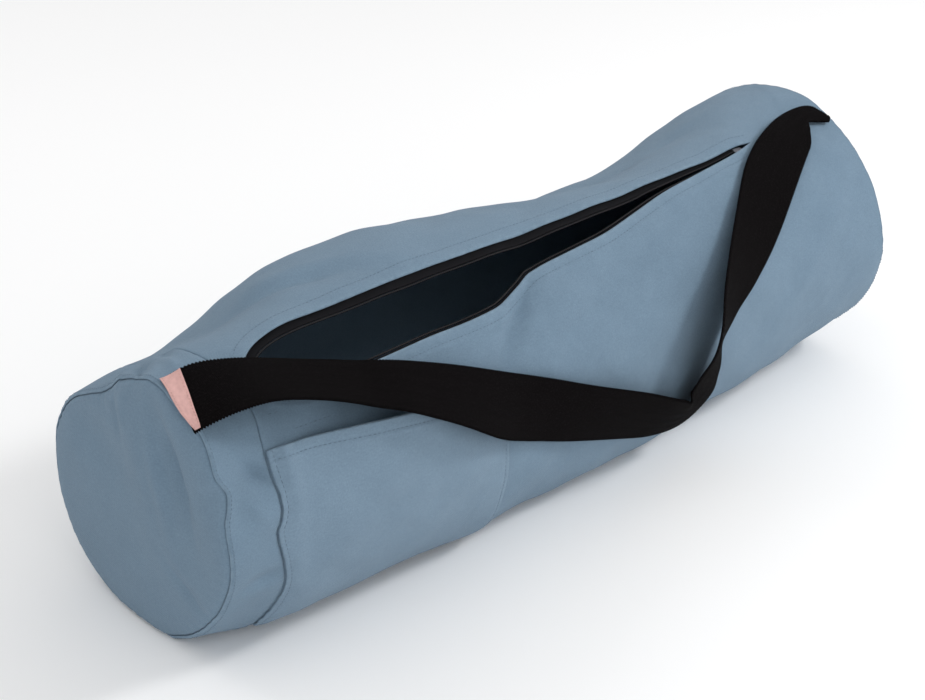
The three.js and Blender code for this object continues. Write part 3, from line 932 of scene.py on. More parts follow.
@dataclass(frozen=True)
class CanvasFinish:
    """Matte plain-weave canvas, dyed in the yarn, with slubs and a washed unevenness."""

    name: str
    colour: Colour = (0.186, 0.276, 0.366)
    shade: Colour = (0.160, 0.242, 0.326)
    worn: Colour = (0.232, 0.328, 0.420)
    thread: float = 0.00072
    relief: float = 0.00016

    def make(self) -> bpy.types.Material:
        """Build the canvas material."""
        tree = ShaderTree(self.name)
        vector, along, across = tree.pattern()
        place = tree.place()
        warp_place = tree.math("DIVIDE", along, self.thread)
        weft_place = tree.math("DIVIDE", across, self.thread)
        steps = tree.math("ADD", tree.math("FLOOR", warp_place), tree.math("FLOOR", weft_place))
        over = tree.math("FLOORED_MODULO", steps, 2.0)
        warp = tree.ridges(warp_place)
        weft = tree.ridges(weft_place)
        weave = tree.math("MULTIPLY_ADD", over, tree.math("SUBTRACT", warp, weft), weft)
        long_slubs = tree.noise(tree.stretch(vector, (240, 1500, 1)), 1.0, 2.0)
        cross_slubs = tree.noise(tree.stretch(vector, (1500, 240, 1)), 1.0, 2.0)
        speckle = tree.noise(vector, 760.0, 2.0)
        crossed = tree.math("MULTIPLY", tree.math("ADD", long_slubs, cross_slubs), 0.25)
        slubs = tree.math("MULTIPLY_ADD", speckle, 0.5, crossed)
        cloud = tree.spread(tree.noise(place, 9.0, 4.0), 0.35, 0.68)
        mottle = tree.spread(tree.noise(place, 85.0, 4.0), 0.3, 0.72)
        tone = tree.math("MULTIPLY_ADD", mottle, 0.45, tree.math("MULTIPLY", cloud, 0.55))
        base = tree.mix(tone, rgba(self.shade), rgba(self.colour))
        yarns = tree.math("MULTIPLY_ADD", slubs, 1.4, tree.math("MULTIPLY", weave, 0.25))
        yarn = tree.spread(yarns, 0.45, 1.25)
        threaded = tree.mix(yarn, rgba((0.78, 0.78, 0.80)), rgba((1.20, 1.19, 1.17)))
        cloth = tree.mix(1.0, base, threaded, "MULTIPLY")
        wear = tree.add("Attribute", attribute_name="wear").outputs["Fac"]
        rubbed = tree.math("MULTIPLY", wear, tree.spread(tree.noise(place, 240.0, 3.0), 0.38, 0.66))
        colour = tree.mix(tree.math("MULTIPLY", rubbed, 0.55), cloth, rgba(self.worn))
        height = tree.math("MULTIPLY_ADD", slubs, 0.7, weave)
        crumple = tree.bump(tree.noise(place, 48.0, 4.0), 0.0020, 0.8)
        normal = tree.bump(height, self.relief, 1.0, crumple)
        rough = tree.spread(mottle, 0.0, 1.0, 0.86, 0.97)
        return tree.finish(
            Base_Color=colour, Roughness=rough, Normal=normal, Specular_IOR_Level=0.18, Sheen_Weight=0.10
        )


@dataclass(frozen=True)
class WebbingFinish:
    """Black cotton webbing in a narrow herringbone."""

    name: str = "black_herringbone_webbing"
    colour: Colour = (0.0016, 0.0012, 0.0014)
    # Lighter colour for real lint and for the painted sheen on the ribs' tops
    lint: Colour = (0.0150, 0.0125, 0.0135)
    stripe: float = 0.0050
    cord: float = 0.0013

    def make(self) -> bpy.types.Material:
        """Build the webbing material."""
        tree = ShaderTree(self.name)
        vector, along, across = tree.pattern()
        zigzag = tree.math("PINGPONG", across, self.stripe)
        phase = tree.math("DIVIDE", tree.math("ADD", along, zigzag), self.cord)
        rib = tree.ridges(phase)
        fuzz = tree.noise(tree.stretch(vector, (900, 2200, 1)), 1.0, 3.0)
        lint = tree.spread(tree.noise(vector, 700.0, 4.0), 0.52, 0.80)
        # Painted sheen: the ribs' tops are painted lighter, mixed with real lint
        lit = tree.math("MULTIPLY", tree.math("ADD", tree.math("MULTIPLY", rib, 0.45), lint), 0.6)
        colour = tree.mix(lit, rgba(self.colour), rgba(self.lint))
        height = tree.math("MULTIPLY_ADD", fuzz, 0.4, rib)
        normal = tree.bump(height, 0.0005, 1.0)
        rough = tree.spread(fuzz, 0.3, 0.7, 0.84, 0.98)
        return tree.finish(Base_Color=colour, Roughness=rough, Normal=normal, Specular_IOR_Level=0.04)


@dataclass(frozen=True)
class TapeFinish:
    """Woven zip tape in a fine twill."""

    name: str = "black_twill_zip_tape"
    colour: Colour = (0.0048, 0.0046, 0.0056)
    sheen: Colour = (0.013, 0.013, 0.016)
    twill: float = 0.0009

    def make(self) -> bpy.types.Material:
        """Build the tape material."""
        tree = ShaderTree(self.name)
        vector, along, across = tree.pattern()
        phase = tree.math("DIVIDE", tree.math("ADD", along, across), self.twill)
        rib = tree.ridges(phase)
        fuzz = tree.noise(vector, 900.0, 3.0)
        colour = tree.mix(tree.math("MULTIPLY", rib, fuzz), rgba(self.colour), rgba(self.sheen))
        normal = tree.bump(tree.math("MULTIPLY_ADD", fuzz, 0.4, rib), 0.0002, 0.8)
        rough = tree.spread(fuzz, 0.3, 0.7, 0.74, 0.9)
        return tree.finish(Base_Color=colour, Roughness=rough, Normal=normal, Specular_IOR_Level=0.10)


@dataclass(frozen=True)
class CoilFinish:
    """Moulded black plastic of the zip's teeth."""

    name: str = "black_moulded_coil"
    colour: Colour = (0.0060, 0.0060, 0.0072)
    rubbed: Colour = (0.018, 0.018, 0.021)

    def make(self) -> bpy.types.Material:
        """Build the coil material."""
        tree = ShaderTree(self.name)
        place = tree.place()
        scuff = tree.spread(tree.noise(place, 420.0, 4.0), 0.5, 0.75)
        colour = tree.mix(scuff, rgba(self.colour), rgba(self.rubbed))
        rough = tree.spread(scuff, 0.0, 1.0, 0.50, 0.72)
        normal = tree.bump(tree.noise(place, 1600.0, 2.0), 0.00004, 0.5)
        return tree.finish(Base_Color=colour, Roughness=rough, Normal=normal, Specular_IOR_Level=0.22)


@dataclass(frozen=True)
class MetalFinish:
    """Grey slider metal, tarnished in random patches and finely scratched."""

    name: str = "worn_grey_slider_metal"
    colour: Colour = (0.24, 0.25, 0.28)
    tarnish: Colour = (0.11, 0.11, 0.12)

    def make(self) -> bpy.types.Material:
        """Build the metal material."""
        tree = ShaderTree(self.name)
        place = tree.place()
        dull = tree.spread(tree.noise(place, 500.0, 4.0), 0.4, 0.7)
        scratches = tree.noise(tree.stretch(place, (300, 5200, 5200)), 1.0, 2.0)
        colour = tree.mix(dull, rgba(self.colour), rgba(self.tarnish))
        rough = tree.spread(scratches, 0.3, 0.7, 0.40, 0.62)
        normal = tree.bump(scratches, 0.00003, 0.6)
        return tree.finish(Base_Color=colour, Roughness=rough, Normal=normal, Metallic=1.0)


@dataclass(frozen=True)
class LabelFinish:
    """Dusty pink woven label tape, blank, ribbed across its length."""

    name: str = "dusty_pink_label_tape"
    colour: Colour = (0.700, 0.425, 0.395)
    shade: Colour = (0.560, 0.325, 0.300)
    rib: float = 0.00062

    def make(self) -> bpy.types.Material:
        """Build the label material."""
        tree = ShaderTree(self.name)
        vector, along, across = tree.pattern()
        ribs = tree.ridges(tree.math("DIVIDE", along, self.rib))
        picks = tree.ridges(tree.math("DIVIDE", across, self.rib))
        weave = tree.math("MULTIPLY_ADD", picks, 0.4, ribs)
        tone = tree.spread(tree.noise(vector, 260.0, 4.0), 0.32, 0.66)
        blend = tree.math("MULTIPLY_ADD", weave, 0.3, tree.math("MULTIPLY", tone, 0.7))
        colour = tree.mix(blend, rgba(self.shade), rgba(self.colour))
        normal = tree.bump(weave, 0.00012, 0.8)
        rough = tree.spread(tone, 0.0, 1.0, 0.62, 0.82)
        return tree.finish(Base_Color=colour, Roughness=rough, Normal=normal, Specular_IOR_Level=0.3)


@dataclass(frozen=True)
class ThreadFinish:
    """Twisted sewing thread."""

    name: str
    colour: Colour
    shade: Colour

    def make(self) -> bpy.types.Material:
        """Build the thread material."""
        tree = ShaderTree(self.name)
        place = tree.place()
        ply = tree.noise(place, 2400.0, 2.0)
        tone = tree.spread(tree.noise(place, 130.0, 3.0), 0.35, 0.68)
        colour = tree.mix(tone, rgba(self.shade), rgba(self.colour))
        rough = tree.spread(ply, 0.3, 0.7, 0.62, 0.82)
        normal = tree.bump(ply, 0.00008, 0.7)
        return tree.finish(Base_Color=colour, Roughness=rough, Normal=normal, Specular_IOR_Level=0.3)


@dataclass(frozen=True)
class FloorFinish:
    """Plain pale studio floor."""

    name: str = "pale_studio_floor"
    colour: Colour = (0.97, 0.97, 0.97)
    shade: Colour = (0.955, 0.955, 0.957)

    def make(self) -> bpy.types.Material:
        """Build the floor material."""
        tree = ShaderTree(self.name)
        colour = tree.mix(tree.noise(tree.place(), 2.0, 2.0), rgba(self.shade), rgba(self.colour))
        return tree.finish(Base_Color=colour, Roughness=0.95, Specular_IOR_Level=0.05)


@dataclass
class BodyPanel:
    """The main sleeve, slit along the top and hemmed at both lips."""

    form: BagForm
    slit_stations: int = 185
    closed_stations: int = 52
    middle_columns: int = 118
    front_stitch: float = 0.0072
    back_stitch: float = 0.0100
    edge_steps: tuple[float, ...] = SEAM_STEPS
    hem_steps: tuple[float, ...] = (
        0.0, 0.0004, 0.0011, 0.0022, 0.0036, 0.0052, 0.0066, 0.0080, 0.0094, 0.0108, 0.0118, 0.0128, 0.0144,
    )
    end_margin: float = 0.0052
    lip_round: float = 0.0010
    lip_share: float = 0.45
    closed_below: float = 0.00003
    lip_wear: float = 0.0020
    station_ease: float = 0.45
    slant_angles: tuple[float, float] = (67.0, 108.0)
    slant_fades: tuple[float, float] = (3.0, 5.0)
    slant_depth: float = 0.0011
    slant_width: float = 0.0011
    slant_ridge: float = 0.0003
    slant_ridge_off: float = 0.003
    slant_ridge_width: float = 0.0018
    slant_tilt: float = 0.87

    def stations(self) -> dict[str, Array]:
        """Where the outer and inner faces lie along the panel.

        Returns:
            Places and depths of both faces, one value for each station.
        """
        form = self.form
        start = form.cuff_seam + form.gap / 2
        steps = np.array(self.edge_steps)
        share = np.linspace(0, 1, self.slit_stations)
        ease = self.station_ease
        eased = (1 - ease) * share + ease * (1 - np.cos(np.pi * share)) / 2
        slit = form.opening_start + eased * (form.opening_end - form.opening_start)
        closed = np.linspace(form.opening_end, form.right_end - self.end_margin, self.closed_stations)[1:]
        x = np.concatenate([start + steps, slit, closed, form.right_end - steps[::-1]])
        drop = np.maximum(form.groove(x - start), form.groove(form.right_end - x))
        into = np.clip(1 - (x - start) / form.groove_width, 0, 1)
        inner_x = x + form.wall * into
        inner_drop = drop + form.wall
        return {
            "x": np.concatenate([[start], x]),
            "drop": np.concatenate([[form.seam_allowance], drop]),
            "inner_x": np.concatenate([[start + form.wall], inner_x]),
            "inner_drop": np.concatenate([[form.seam_allowance], inner_drop]),
        }

    def angles(self, x: Array) -> tuple[Array, Array, Array]:
        """Angles of the panel's columns, and how far each is from its nearer lip.

        Args:
            x: The stations.

        Returns:
            Angles, distances from the front lip and distances from the back lip.
        """
        turn = self.form.turn_per_metre
        lips = self.form.lips(x)
        first = lips[Lip.FRONT][:, None]
        last = lips[Lip.BACK][:, None] - 360
        hem = np.array(self.hem_steps) * turn
        inside = np.linspace(0, 1, self.middle_columns + 2)[1:-1]
        low = first - hem[-1]
        high = last + hem[-1]
        middle = low + (high - low) * inside
        angles = np.concatenate([first - hem, middle, last + hem[::-1]], axis=1)
        return angles, (first - angles) / turn, (angles - last) / turn

    def slant_groove(self, x: Array, angle: Array) -> Array:
        """Depth of the short slanting seam over the right shoulder.

        Args:
            x: Places along the bag.
            angle: Angles round it, in degrees.

        Returns:
            The seam's depth at each place.
        """
        places = np.array(SLANT_SEAM)[::-1]
        turned = turn_between(angle, 0.0)
        middle = np.interp(turned, places[:, 1], places[:, 0])
        off = np.abs(x - middle) * self.slant_tilt
        low, high = self.slant_angles
        fade_in, fade_out = self.slant_fades
        ends = np.clip((turned - low) / fade_in, 0, 1) * np.clip((high - turned) / fade_out, 0, 1)
        groove = self.slant_depth * bell(off, self.slant_width)
        ridge = self.slant_ridge * bell(off - self.slant_ridge_off, self.slant_ridge_width)
        return ends * (groove - ridge)

    def build(self, finish: bpy.types.Material) -> bpy.types.Object:
        """Build the panel.

        Args:
            finish: Its canvas.

        Returns:
            The piece.
        """
        form = self.form
        at = self.stations()
        x = at["x"][:, None]
        inner_x = at["inner_x"][:, None]
        angles, from_front, from_back = self.angles(at["x"])
        rise = form.hem_height(x, from_front, self.front_stitch)
        rise = rise + form.hem_height(x, from_back, self.back_stitch)
        carve = self.slant_groove(x, angles)
        outer = form.point(x, angles, at["drop"][:, None] - rise + carve)
        inner_angles, _, _ = self.angles(at["inner_x"])
        inner = form.point(inner_x, inner_angles, at["inner_drop"][:, None] + np.maximum(rise, 0) + carve)
        half = form.half_opening(at["x"])
        push = np.minimum(self.lip_round, self.lip_share * half) * form.turn_per_metre
        depth = (at["drop"] + at["inner_drop"]) / 2
        middles = (at["x"] + at["inner_x"]) / 2
        front = form.point(middles, angles[:, 0] + push, depth)
        back = form.point(middles, angles[:, -1] - push, depth)
        right = form.point(form.right_end, angles[-1], depth[-1])
        right[:, 0] += form.wall * form.rim_bulge
        edge = np.exp(-np.minimum(from_front, from_back) / self.lip_wear) * (form.hem_share(x) > 0)
        from_seam = np.minimum(np.abs(x - form.cuff_seam), np.abs(x - form.right_end))
        seam = form.worn_seam(from_seam)
        pattern = vectors(x, np.radians(angles) * form.radius)
        shell = Shell(
            outer, inner, pattern, last_row=right, first_column=front, last_column=back,
            joined=half < self.closed_below, wear=np.maximum(edge, seam),
        )
        return shell.piece("body_panel_cloth", finish, Slot.CANVAS, "body_panel")


@dataclass
class CuffBand:
    """The band of canvas between the left end disc and the body."""

    form: BagForm
    columns: int = 220
    middle_stations: int = 24
    end_margin: float = 0.0056
    edge_steps: tuple[float, ...] = SEAM_STEPS

    def build(self, finish: bpy.types.Material) -> bpy.types.Object:
        """Build the cuff.

        Args:
            finish: Its canvas.

        Returns:
            The piece.
        """
        form = self.form
        end = form.cuff_seam - form.gap / 2
        steps = np.array(self.edge_steps)
        margin = self.end_margin
        middle = np.linspace(form.left_end + margin, end - margin, self.middle_stations)
        x = np.concatenate([form.left_end + steps, middle, end - steps[::-1]])
        drop = np.maximum(form.groove(x - form.left_end), form.groove(end - x))
        into = np.clip(1 - (end - x) / form.groove_width, 0, 1)
        outer_x = np.concatenate([x, [end]])
        inner_x = np.concatenate([x - form.wall * into, [end - form.wall]])
        outer_drop = np.concatenate([drop, [form.seam_allowance]])
        inner_drop = np.concatenate([drop + form.wall, [form.seam_allowance]])
        angles = 90 - np.linspace(0, 360, self.columns + 1)[None, :]
        outer = form.point(outer_x[:, None], angles, outer_drop[:, None])
        inner = form.point(inner_x[:, None], angles, inner_drop[:, None])
        rim = form.point(form.left_end, angles[0], drop[0] + form.wall / 2)
        rim[:, 0] -= form.wall * form.rim_bulge
        pattern = vectors(outer_x[:, None], np.radians(angles) * form.radius)
        near = np.minimum(np.abs(outer_x - form.left_end), np.abs(end - outer_x))
        wear = np.broadcast_to(form.worn_seam(near)[:, None], outer.shape[:2])
        joined = np.ones(len(outer_x), dtype=bool)
        shell = Shell(outer, inner, pattern, first_row=rim, joined=joined, wear=wear)
        return shell.piece("cuff_left_cloth", finish, Slot.CANVAS, "cuff_left")


@dataclass(frozen=True)
class CrownRow:
    """How far an end disc has crowned at a share of the way in from its edge."""

    along: float
    crown: float


CROWN = (
    CrownRow(0.0, 0.0),
    CrownRow(0.012, 0.14),
    CrownRow(0.04, 0.32),
    CrownRow(0.14, 0.6),
    CrownRow(0.4, 0.85),
    CrownRow(0.7, 0.96),
    CrownRow(1.0, 1.0),
)


@dataclass
class EndDisc:
    """A crowned round end whose edge turns in under the sleeve it is sewn to."""

    form: BagForm
    end: End
    crown: float = 0.009
    gather_height: float = 0.0004
    gather_reach: float = 0.07
    gather_start: float = 0.01
    wave_height: float = 0.0005
    columns: int = 220
    rings: int = 56
    rim_rings: int = 14
    rim_band: float = 0.06

    def face(self, share: Array, angle: Array, drop: float) -> Array:
        """Points of one face of the disc.

        Args:
            share: Shares of the radius.
            angle: Angles round the bag, in degrees.
            drop: Depth under the disc's outer face.

        Returns:
            The points.
        """
        form = self.form
        place = form.left_end if self.end is End.LEFT else form.right_end
        rim_drop = form.groove_depth + form.wall + form.gap
        points = form.point(place, angle, rim_drop + drop, share)
        bulge = self.crown * read_along(CROWN, "crown", 1 - share)
        across = points[..., 1] / form.radius
        up = (points[..., 2] - form.axis_height) / form.radius
        if self.end is End.LEFT:
            for fold in DISC_FOLDS + DISC_CREASES:
                height = form.radius * fold_height(fold, across - fold.across, up - fold.up)
                bulge = bulge + height * (1 - share**8)
        gathered = gathers(np.radians(angle)) * np.exp(-(1 - share) / self.gather_reach)
        bulge = bulge + self.gather_height * gathered * np.clip((1 - share) / self.gather_start, 0, 1)
        waves = np.sin(9 * across + 2.0) * np.sin(8 * up + 0.6)
        bulge = bulge + self.wave_height * waves * (1 - share**6)
        points[..., 0] += -self.end.value * (bulge - drop)
        return points

    def build(self, finish: bpy.types.Material) -> bpy.types.Object:
        """Build the disc.

        Args:
            finish: Its canvas.

        Returns:
            The piece.
        """
        form = self.form
        angle = 90 - np.linspace(0, 360, self.columns + 1)[None, :]
        rim = np.linspace(0, self.rim_band, self.rim_rings)
        inside = np.linspace(self.rim_band, 1, self.rings)[1:]
        share = (1 - np.concatenate([rim, inside]))[:, None]
        layers = []
        for drop in (0.0, form.wall):
            face = self.face(share, angle, drop)
            flange = face[:1].copy()
            flange[..., 0] += self.end.value * (form.seam_allowance - drop)
            layers.append(np.concatenate([flange, face]))
        outer, inner = layers
        pattern = np.stack([outer[..., 1], outer[..., 2]], axis=-1)
        shell = Shell(outer, inner, pattern, joined=np.ones(len(outer), dtype=bool))
        name = f"end_disc_{self.end.name.lower()}"
        mesh = self._without_pole(shell.mesh(name + "_cloth"))
        return place_piece(name + "_cloth", mesh, finish, [name])

    @staticmethod
    def _without_pole(mesh: bpy.types.Mesh) -> bpy.types.Mesh:
        """Drop the faces that join the two poles, and any left without area."""
        work = bmesh.new()
        work.from_mesh(mesh)
        bmesh.ops.dissolve_degenerate(work, edges=work.edges, dist=SHORTEST_EDGE)
        bmesh.ops.recalc_face_normals(work, faces=work.faces)
        work.to_mesh(mesh)
        work.free()
        return mesh


@dataclass
class PatchPocket:
    """The patch pocket in front, hemmed and gaping a little at its top."""

    form: BagForm
    stations: int = 110
    columns: int = 96
    hem: float = 0.0092
    hem_stitch: float = 0.0066
    side_stitch: float = 0.0034
    hem_rise: float = 0.0006
    hem_step: float = 0.0005
    hem_dimple: float = 0.00042
    side_dimple: float = 0.0004
    dimple_width: float = 0.0010
    edge_round: float = 0.0008
    edge_wear: float = 0.0018
    hem_span: float = 0.0165
    hem_columns: int = 26
    end_margin: float = 0.0052
    edge_share: float = 0.72
    edge_reach: float = 0.0012
    drawn_share: float = 0.2
    drawn_reach: float = 0.008
    sag: float = 0.0012
    least_gap: float = 0.00015
    edge_steps: tuple[float, ...] = (0.0, 0.0004, 0.0010, 0.0018, 0.0028, 0.0040)

    def thickness(self, below: Array, x: Array) -> Array:
        """Thickness of the cloth with its hem and the dimples of its stitches.

        Args:
            below: Distance below the top edge.
            x: Places along the bag.

        Returns:
            The thickness at each place.
        """
        form = self.form
        hem = self.hem_rise / (1 + np.exp((below - self.hem) / self.hem_step))
        dimples = self.hem_dimple * bell(below - self.hem_stitch, self.dimple_width)
        left = x - form.pocket_start
        right = form.pocket_end - x
        sides = sum(
            self.side_dimple * bell(side - self.side_stitch, self.dimple_width) for side in (left, right)
        )
        edge = np.clip(np.minimum(left, right) / self.edge_reach, 0, 1)
        return form.wall * (self.edge_share + (1 - self.edge_share) * edge) + hem - dimples - sides

    def grid(self) -> tuple[Array, Array, Array]:
        """Places and angles of the pocket's points.

        Returns:
            Places along the bag, shares of the pocket's length and angles.
        """
        form = self.form
        steps = np.array(self.edge_steps)
        start, end = form.pocket_start, form.pocket_end
        inside = np.linspace(start + self.end_margin, end - self.end_margin, self.stations)
        x = np.concatenate([start + steps, inside, end - steps[::-1]])[:, None]
        share = (x - form.pocket_start) / form.pocket_length
        top = form.pocket_top(share)
        span = (top - form.pocket_bottom) / form.turn_per_metre
        near_top = np.linspace(0, self.hem_span, self.hem_columns)[None, :]
        rest = self.hem_span + (span - self.hem_span) * np.linspace(0, 1, self.columns)[1:][None, :]
        below = np.concatenate([np.broadcast_to(near_top, (len(x), self.hem_columns)), rest], axis=1)
        return x, share, top - below * form.turn_per_metre

    def stand_off(self, x: Array, share: Array, angle: Array) -> Array:
        """How far the inner face stands off, drawn down along the sewn sides."""
        form = self.form
        side = np.minimum(x - form.pocket_start, form.pocket_end - x)
        drawn = self.drawn_share + (1 - self.drawn_share) * np.clip(side / self.drawn_reach, 0, 1)
        sag = self.sag * np.sin(np.pi * share) * np.sin(np.radians(angle) * 5 + 9 * share)
        stand = form.pocket_stand_off(share, angle) * drawn
        return np.maximum(stand + np.maximum(sag, 0), self.least_gap)

    def build(self, finish: bpy.types.Material) -> bpy.types.Object:
        """Build the pocket.

        Args:
            finish: Its canvas.

        Returns:
            The piece.
        """
        form = self.form
        x, share, angle = self.grid()
        below = (angle[:, :1] - angle) / form.turn_per_metre
        stand = self.stand_off(x, share, angle)
        thick = self.thickness(below, x)
        outer = form.point(x, angle, -(stand + thick))
        inner = form.point(x, angle, -stand)
        middle = stand + thick / 2
        push = self.edge_round
        top = form.point(x[:, 0], angle[:, 0] + push * form.turn_per_metre, -middle[:, 0])
        bottom = form.point(x[:, 0], angle[:, -1] - push * form.turn_per_metre, -middle[:, -1])
        right = form.point(x[-1] + push, angle[-1], -middle[-1])
        pattern = vectors(x, np.radians(angle) * form.radius)
        side = np.minimum(x - form.pocket_start, form.pocket_end - x)
        wear = np.exp(-np.minimum(below, side) / self.edge_wear)
        shell = Shell(
            outer, inner, pattern, last_row=right, first_column=top, last_column=bottom, wear=wear
        )
        return shell.piece("front_pocket_cloth", finish, Slot.CANVAS, "front_pocket")

    def stitch_point(self, x: Array, below: Array) -> Array:
        """Points on the pocket's outer face, at distances below its top edge."""
        form = self.form
        share = np.clip((x - form.pocket_start) / form.pocket_length, 0, 1)
        angle = form.pocket_top(share) - below * form.turn_per_metre
        drop = -(self.stand_off(x, share, angle) + self.thickness(below, x))
        return vectors(x, angle, drop)


@dataclass
class Course:
    """A run of stations along the strap."""

    middle: Array
    across: Array
    facing: Array
    width: Array
    travelled: Array

    def band(self, places: Array, height: Array) -> Array:
        """Points across the run at a height over its middle.

        Args:
            places: Shares of the width from -0.5 to 0.5, for each station.
            height: Height over the strap's middle.

        Returns:
            A grid of points with a row for each station.
        """
        offset = (places * self.width[:, None])[..., None]
        return (
            self.middle[:, None, :] + self.across[:, None, :] * offset
            + self.facing[:, None, :] * np.asarray(height)[..., None]
        )


@dataclass
class ShoulderStrap:
    """The flat webbing strap between the end seams, with the label over its left end."""

    form: BagForm
    width: float = 0.045
    thickness: float = 0.002
    clearance: float = 0.0012
    stations: int = 1850
    columns: int = 15
    path_stations: int = 1400
    probes: int = 13
    lift_rounds: int = 4
    flat_share: float = 0.46
    edge_share: float = 0.485
    edge_thickness: float = 0.55
    crown: float = 0.0003
    rim_swell: float = 0.0005
    settle_reach: float = 0.016
    bridge_stations: int = 16
    scallop: float = 0.0021
    scallop_depth: float = 0.00130
    label_width: float = 0.015
    label_length: float = 0.043
    label_thickness: float = 0.0009
    label_seat: float = 0.0016
    label_ripple: float = 0.0003
    label_bend: float = 0.0009
    label_columns: int = 30
    label_stations: int = 90

    @cached_property
    def path(self) -> tuple[Array, Array, Array]:
        """Middles, width directions and open widths at even shares of the strap's table."""
        form = self.form
        share = np.linspace(0, 1, self.path_stations)
        places = np.arange(len(STRAP)) / (len(STRAP) - 1)
        x = form.left_end + read_column(STRAP, places, "along", share) * form.length
        angle = read_column(STRAP, places, "angle", share)
        theta = np.radians(angle)
        out = outwards(theta)
        down = vectors(np.zeros_like(theta), -np.sin(theta), -np.cos(theta))
        turn = np.radians(read_column(STRAP, places, "turn", share))[:, None]
        lean = np.radians(read_column(STRAP, places, "lean", share))[:, None]
        ahead = np.array([1.0, 0.0, 0.0])
        level = down * np.cos(turn) + ahead * np.sin(turn)
        across = level * np.cos(lean) + out * np.sin(lean)
        radius = form.smooth_radius(x, angle)
        height = np.maximum(form.axis_height + radius * np.sin(theta), 0)
        resting = vectors(x, -radius * np.cos(theta), height)
        width = self.width * read_column(STRAP, places, "spread", share)
        lift = np.maximum(read_column(STRAP, places, "lift", share), 0) * self.width
        wanted = self.thickness / 2 + form.layer_gap + self.clearance + lift
        probes = np.linspace(-0.5, 0.5, self.probes)[None, :]
        raised = np.zeros_like(theta)
        for _ in range(self.lift_rounds):
            middle = resting + out * raised[:, None]
            edge = middle[:, None, :] + across[:, None, :] * (probes * width[:, None])[..., None]
            _, reach, seen = form.around(edge)
            clear = reach - form.smooth_radius(edge[..., 0], seen)
            lowest = (clear - form.cover_height(edge[..., 0], seen)).min(axis=1)
            raised = raised + wanted - lowest
        return resting + out * self._eased(raised)[:, None], across, width

    def _eased(self, raised: Array) -> Array:
        """Heights bridged over their short dips and steps, and held down at the sewn ends."""
        half = self.bridge_stations
        padded = np.pad(raised, 2 * half, mode="edge")
        windows = np.lib.stride_tricks.sliding_window_view(padded, 2 * half + 1)
        weights = np.hanning(2 * half + 3)[1:-1]
        bridged = np.convolve(windows.max(axis=1), weights / weights.sum(), mode="valid")
        station = np.arange(len(raised))
        from_end = np.minimum(station, station[::-1]) / half
        held = bell(from_end, 1.0)
        return raised * held + bridged * (1 - held)

    def course(self, count: int, reach: float | None = None) -> Course:
        """Stations at even steps of the strap's own length.

        Args:
            count: Number of stations.
            reach: Length from the left end, or None for the whole strap.

        Returns:
            The run of stations.
        """
        middles, directions, widths = self.path
        steps = np.linalg.norm(np.diff(middles, axis=0), axis=1)
        lengths = np.concatenate([[0], np.cumsum(steps)])
        travelled = np.linspace(0, lengths[-1] if reach is None else reach, count)
        table = np.concatenate([middles, directions, widths[:, None]], axis=1)
        read = np.stack([np.interp(travelled, lengths, column) for column in table.T], axis=1)
        middle, across, width = read[:, :3], read[:, 3:6], read[:, 6]
        across = across / np.linalg.norm(across, axis=1, keepdims=True)
        facing = np.cross(across, np.gradient(middle, axis=0))
        facing /= np.linalg.norm(facing, axis=1, keepdims=True)
        return Course(middle, across, facing, width, travelled)

    def settle(self, base: Array, from_end: Array) -> Array:
        """Shifts that lay the strap on the cloth near its sewn ends.

        Args:
            base: Points on the strap's middle surface.
            from_end: Their distances from the nearer end.

        Returns:
            The shift of each point.
        """
        rise, reach, seen = self.form.around(base)
        rest = self.thickness / 2 + self.form.layer_gap + self.clearance
        excess = np.maximum(reach - self.form.smooth_radius(base[..., 0], seen) - rest, 0)
        share = bell(from_end, self.settle_reach) * excess / reach
        return -share[..., None] * vectors(0.0, base[..., 1], rise)

    def build_strap(self, finish: bpy.types.Material) -> bpy.types.Object:
        """Build the strap with its finely scalloped edges.

        Args:
            finish: Its webbing.

        Returns:
            The piece.
        """
        course = self.course(self.stations)
        inside = np.linspace(-self.flat_share, self.flat_share, self.columns)
        places = np.concatenate([[-0.5, -self.edge_share], inside, [self.edge_share, 0.5]])[None, :]
        bite = np.abs(np.sin(np.pi * course.travelled / self.scallop))[:, None]
        edge = np.abs(places) >= self.edge_share
        shares = places * (1 + edge * (bite - 0.5) * 2 * self.scallop_depth / course.width[:, None])
        crown = self.crown * (1 - (2 * places) ** 2)
        half = self.thickness / 2 * np.where(np.abs(places) == 0.5, self.edge_thickness, 1.0)
        outer = course.band(shares, np.broadcast_to(half + crown, shares.shape))
        inner = course.band(shares, np.broadcast_to(-half, shares.shape))
        total = course.travelled[-1]
        from_end = np.minimum(course.travelled, total - course.travelled)[:, None]
        settled = self.settle(course.band(shares, np.zeros((1, 1))), from_end)
        outer = outer + settled
        inner = inner + settled
        swell = self.rim_swell / course.width
        first, last = (
            course.band((shares[:, side] + sign * swell)[:, None], np.zeros((1, 1)))[:, 0] + settled[:, side]
            for side, sign in ((0, -1), (-1, 1))
        )
        travelled = np.broadcast_to(course.travelled[:, None], shares.shape)
        pattern = np.stack([travelled, shares * course.width[:, None]], axis=-1)
        shell = Shell(outer, inner, pattern, first_column=first, last_column=last)
        return shell.piece("strap_webbing", finish, Slot.WEBBING, "strap")

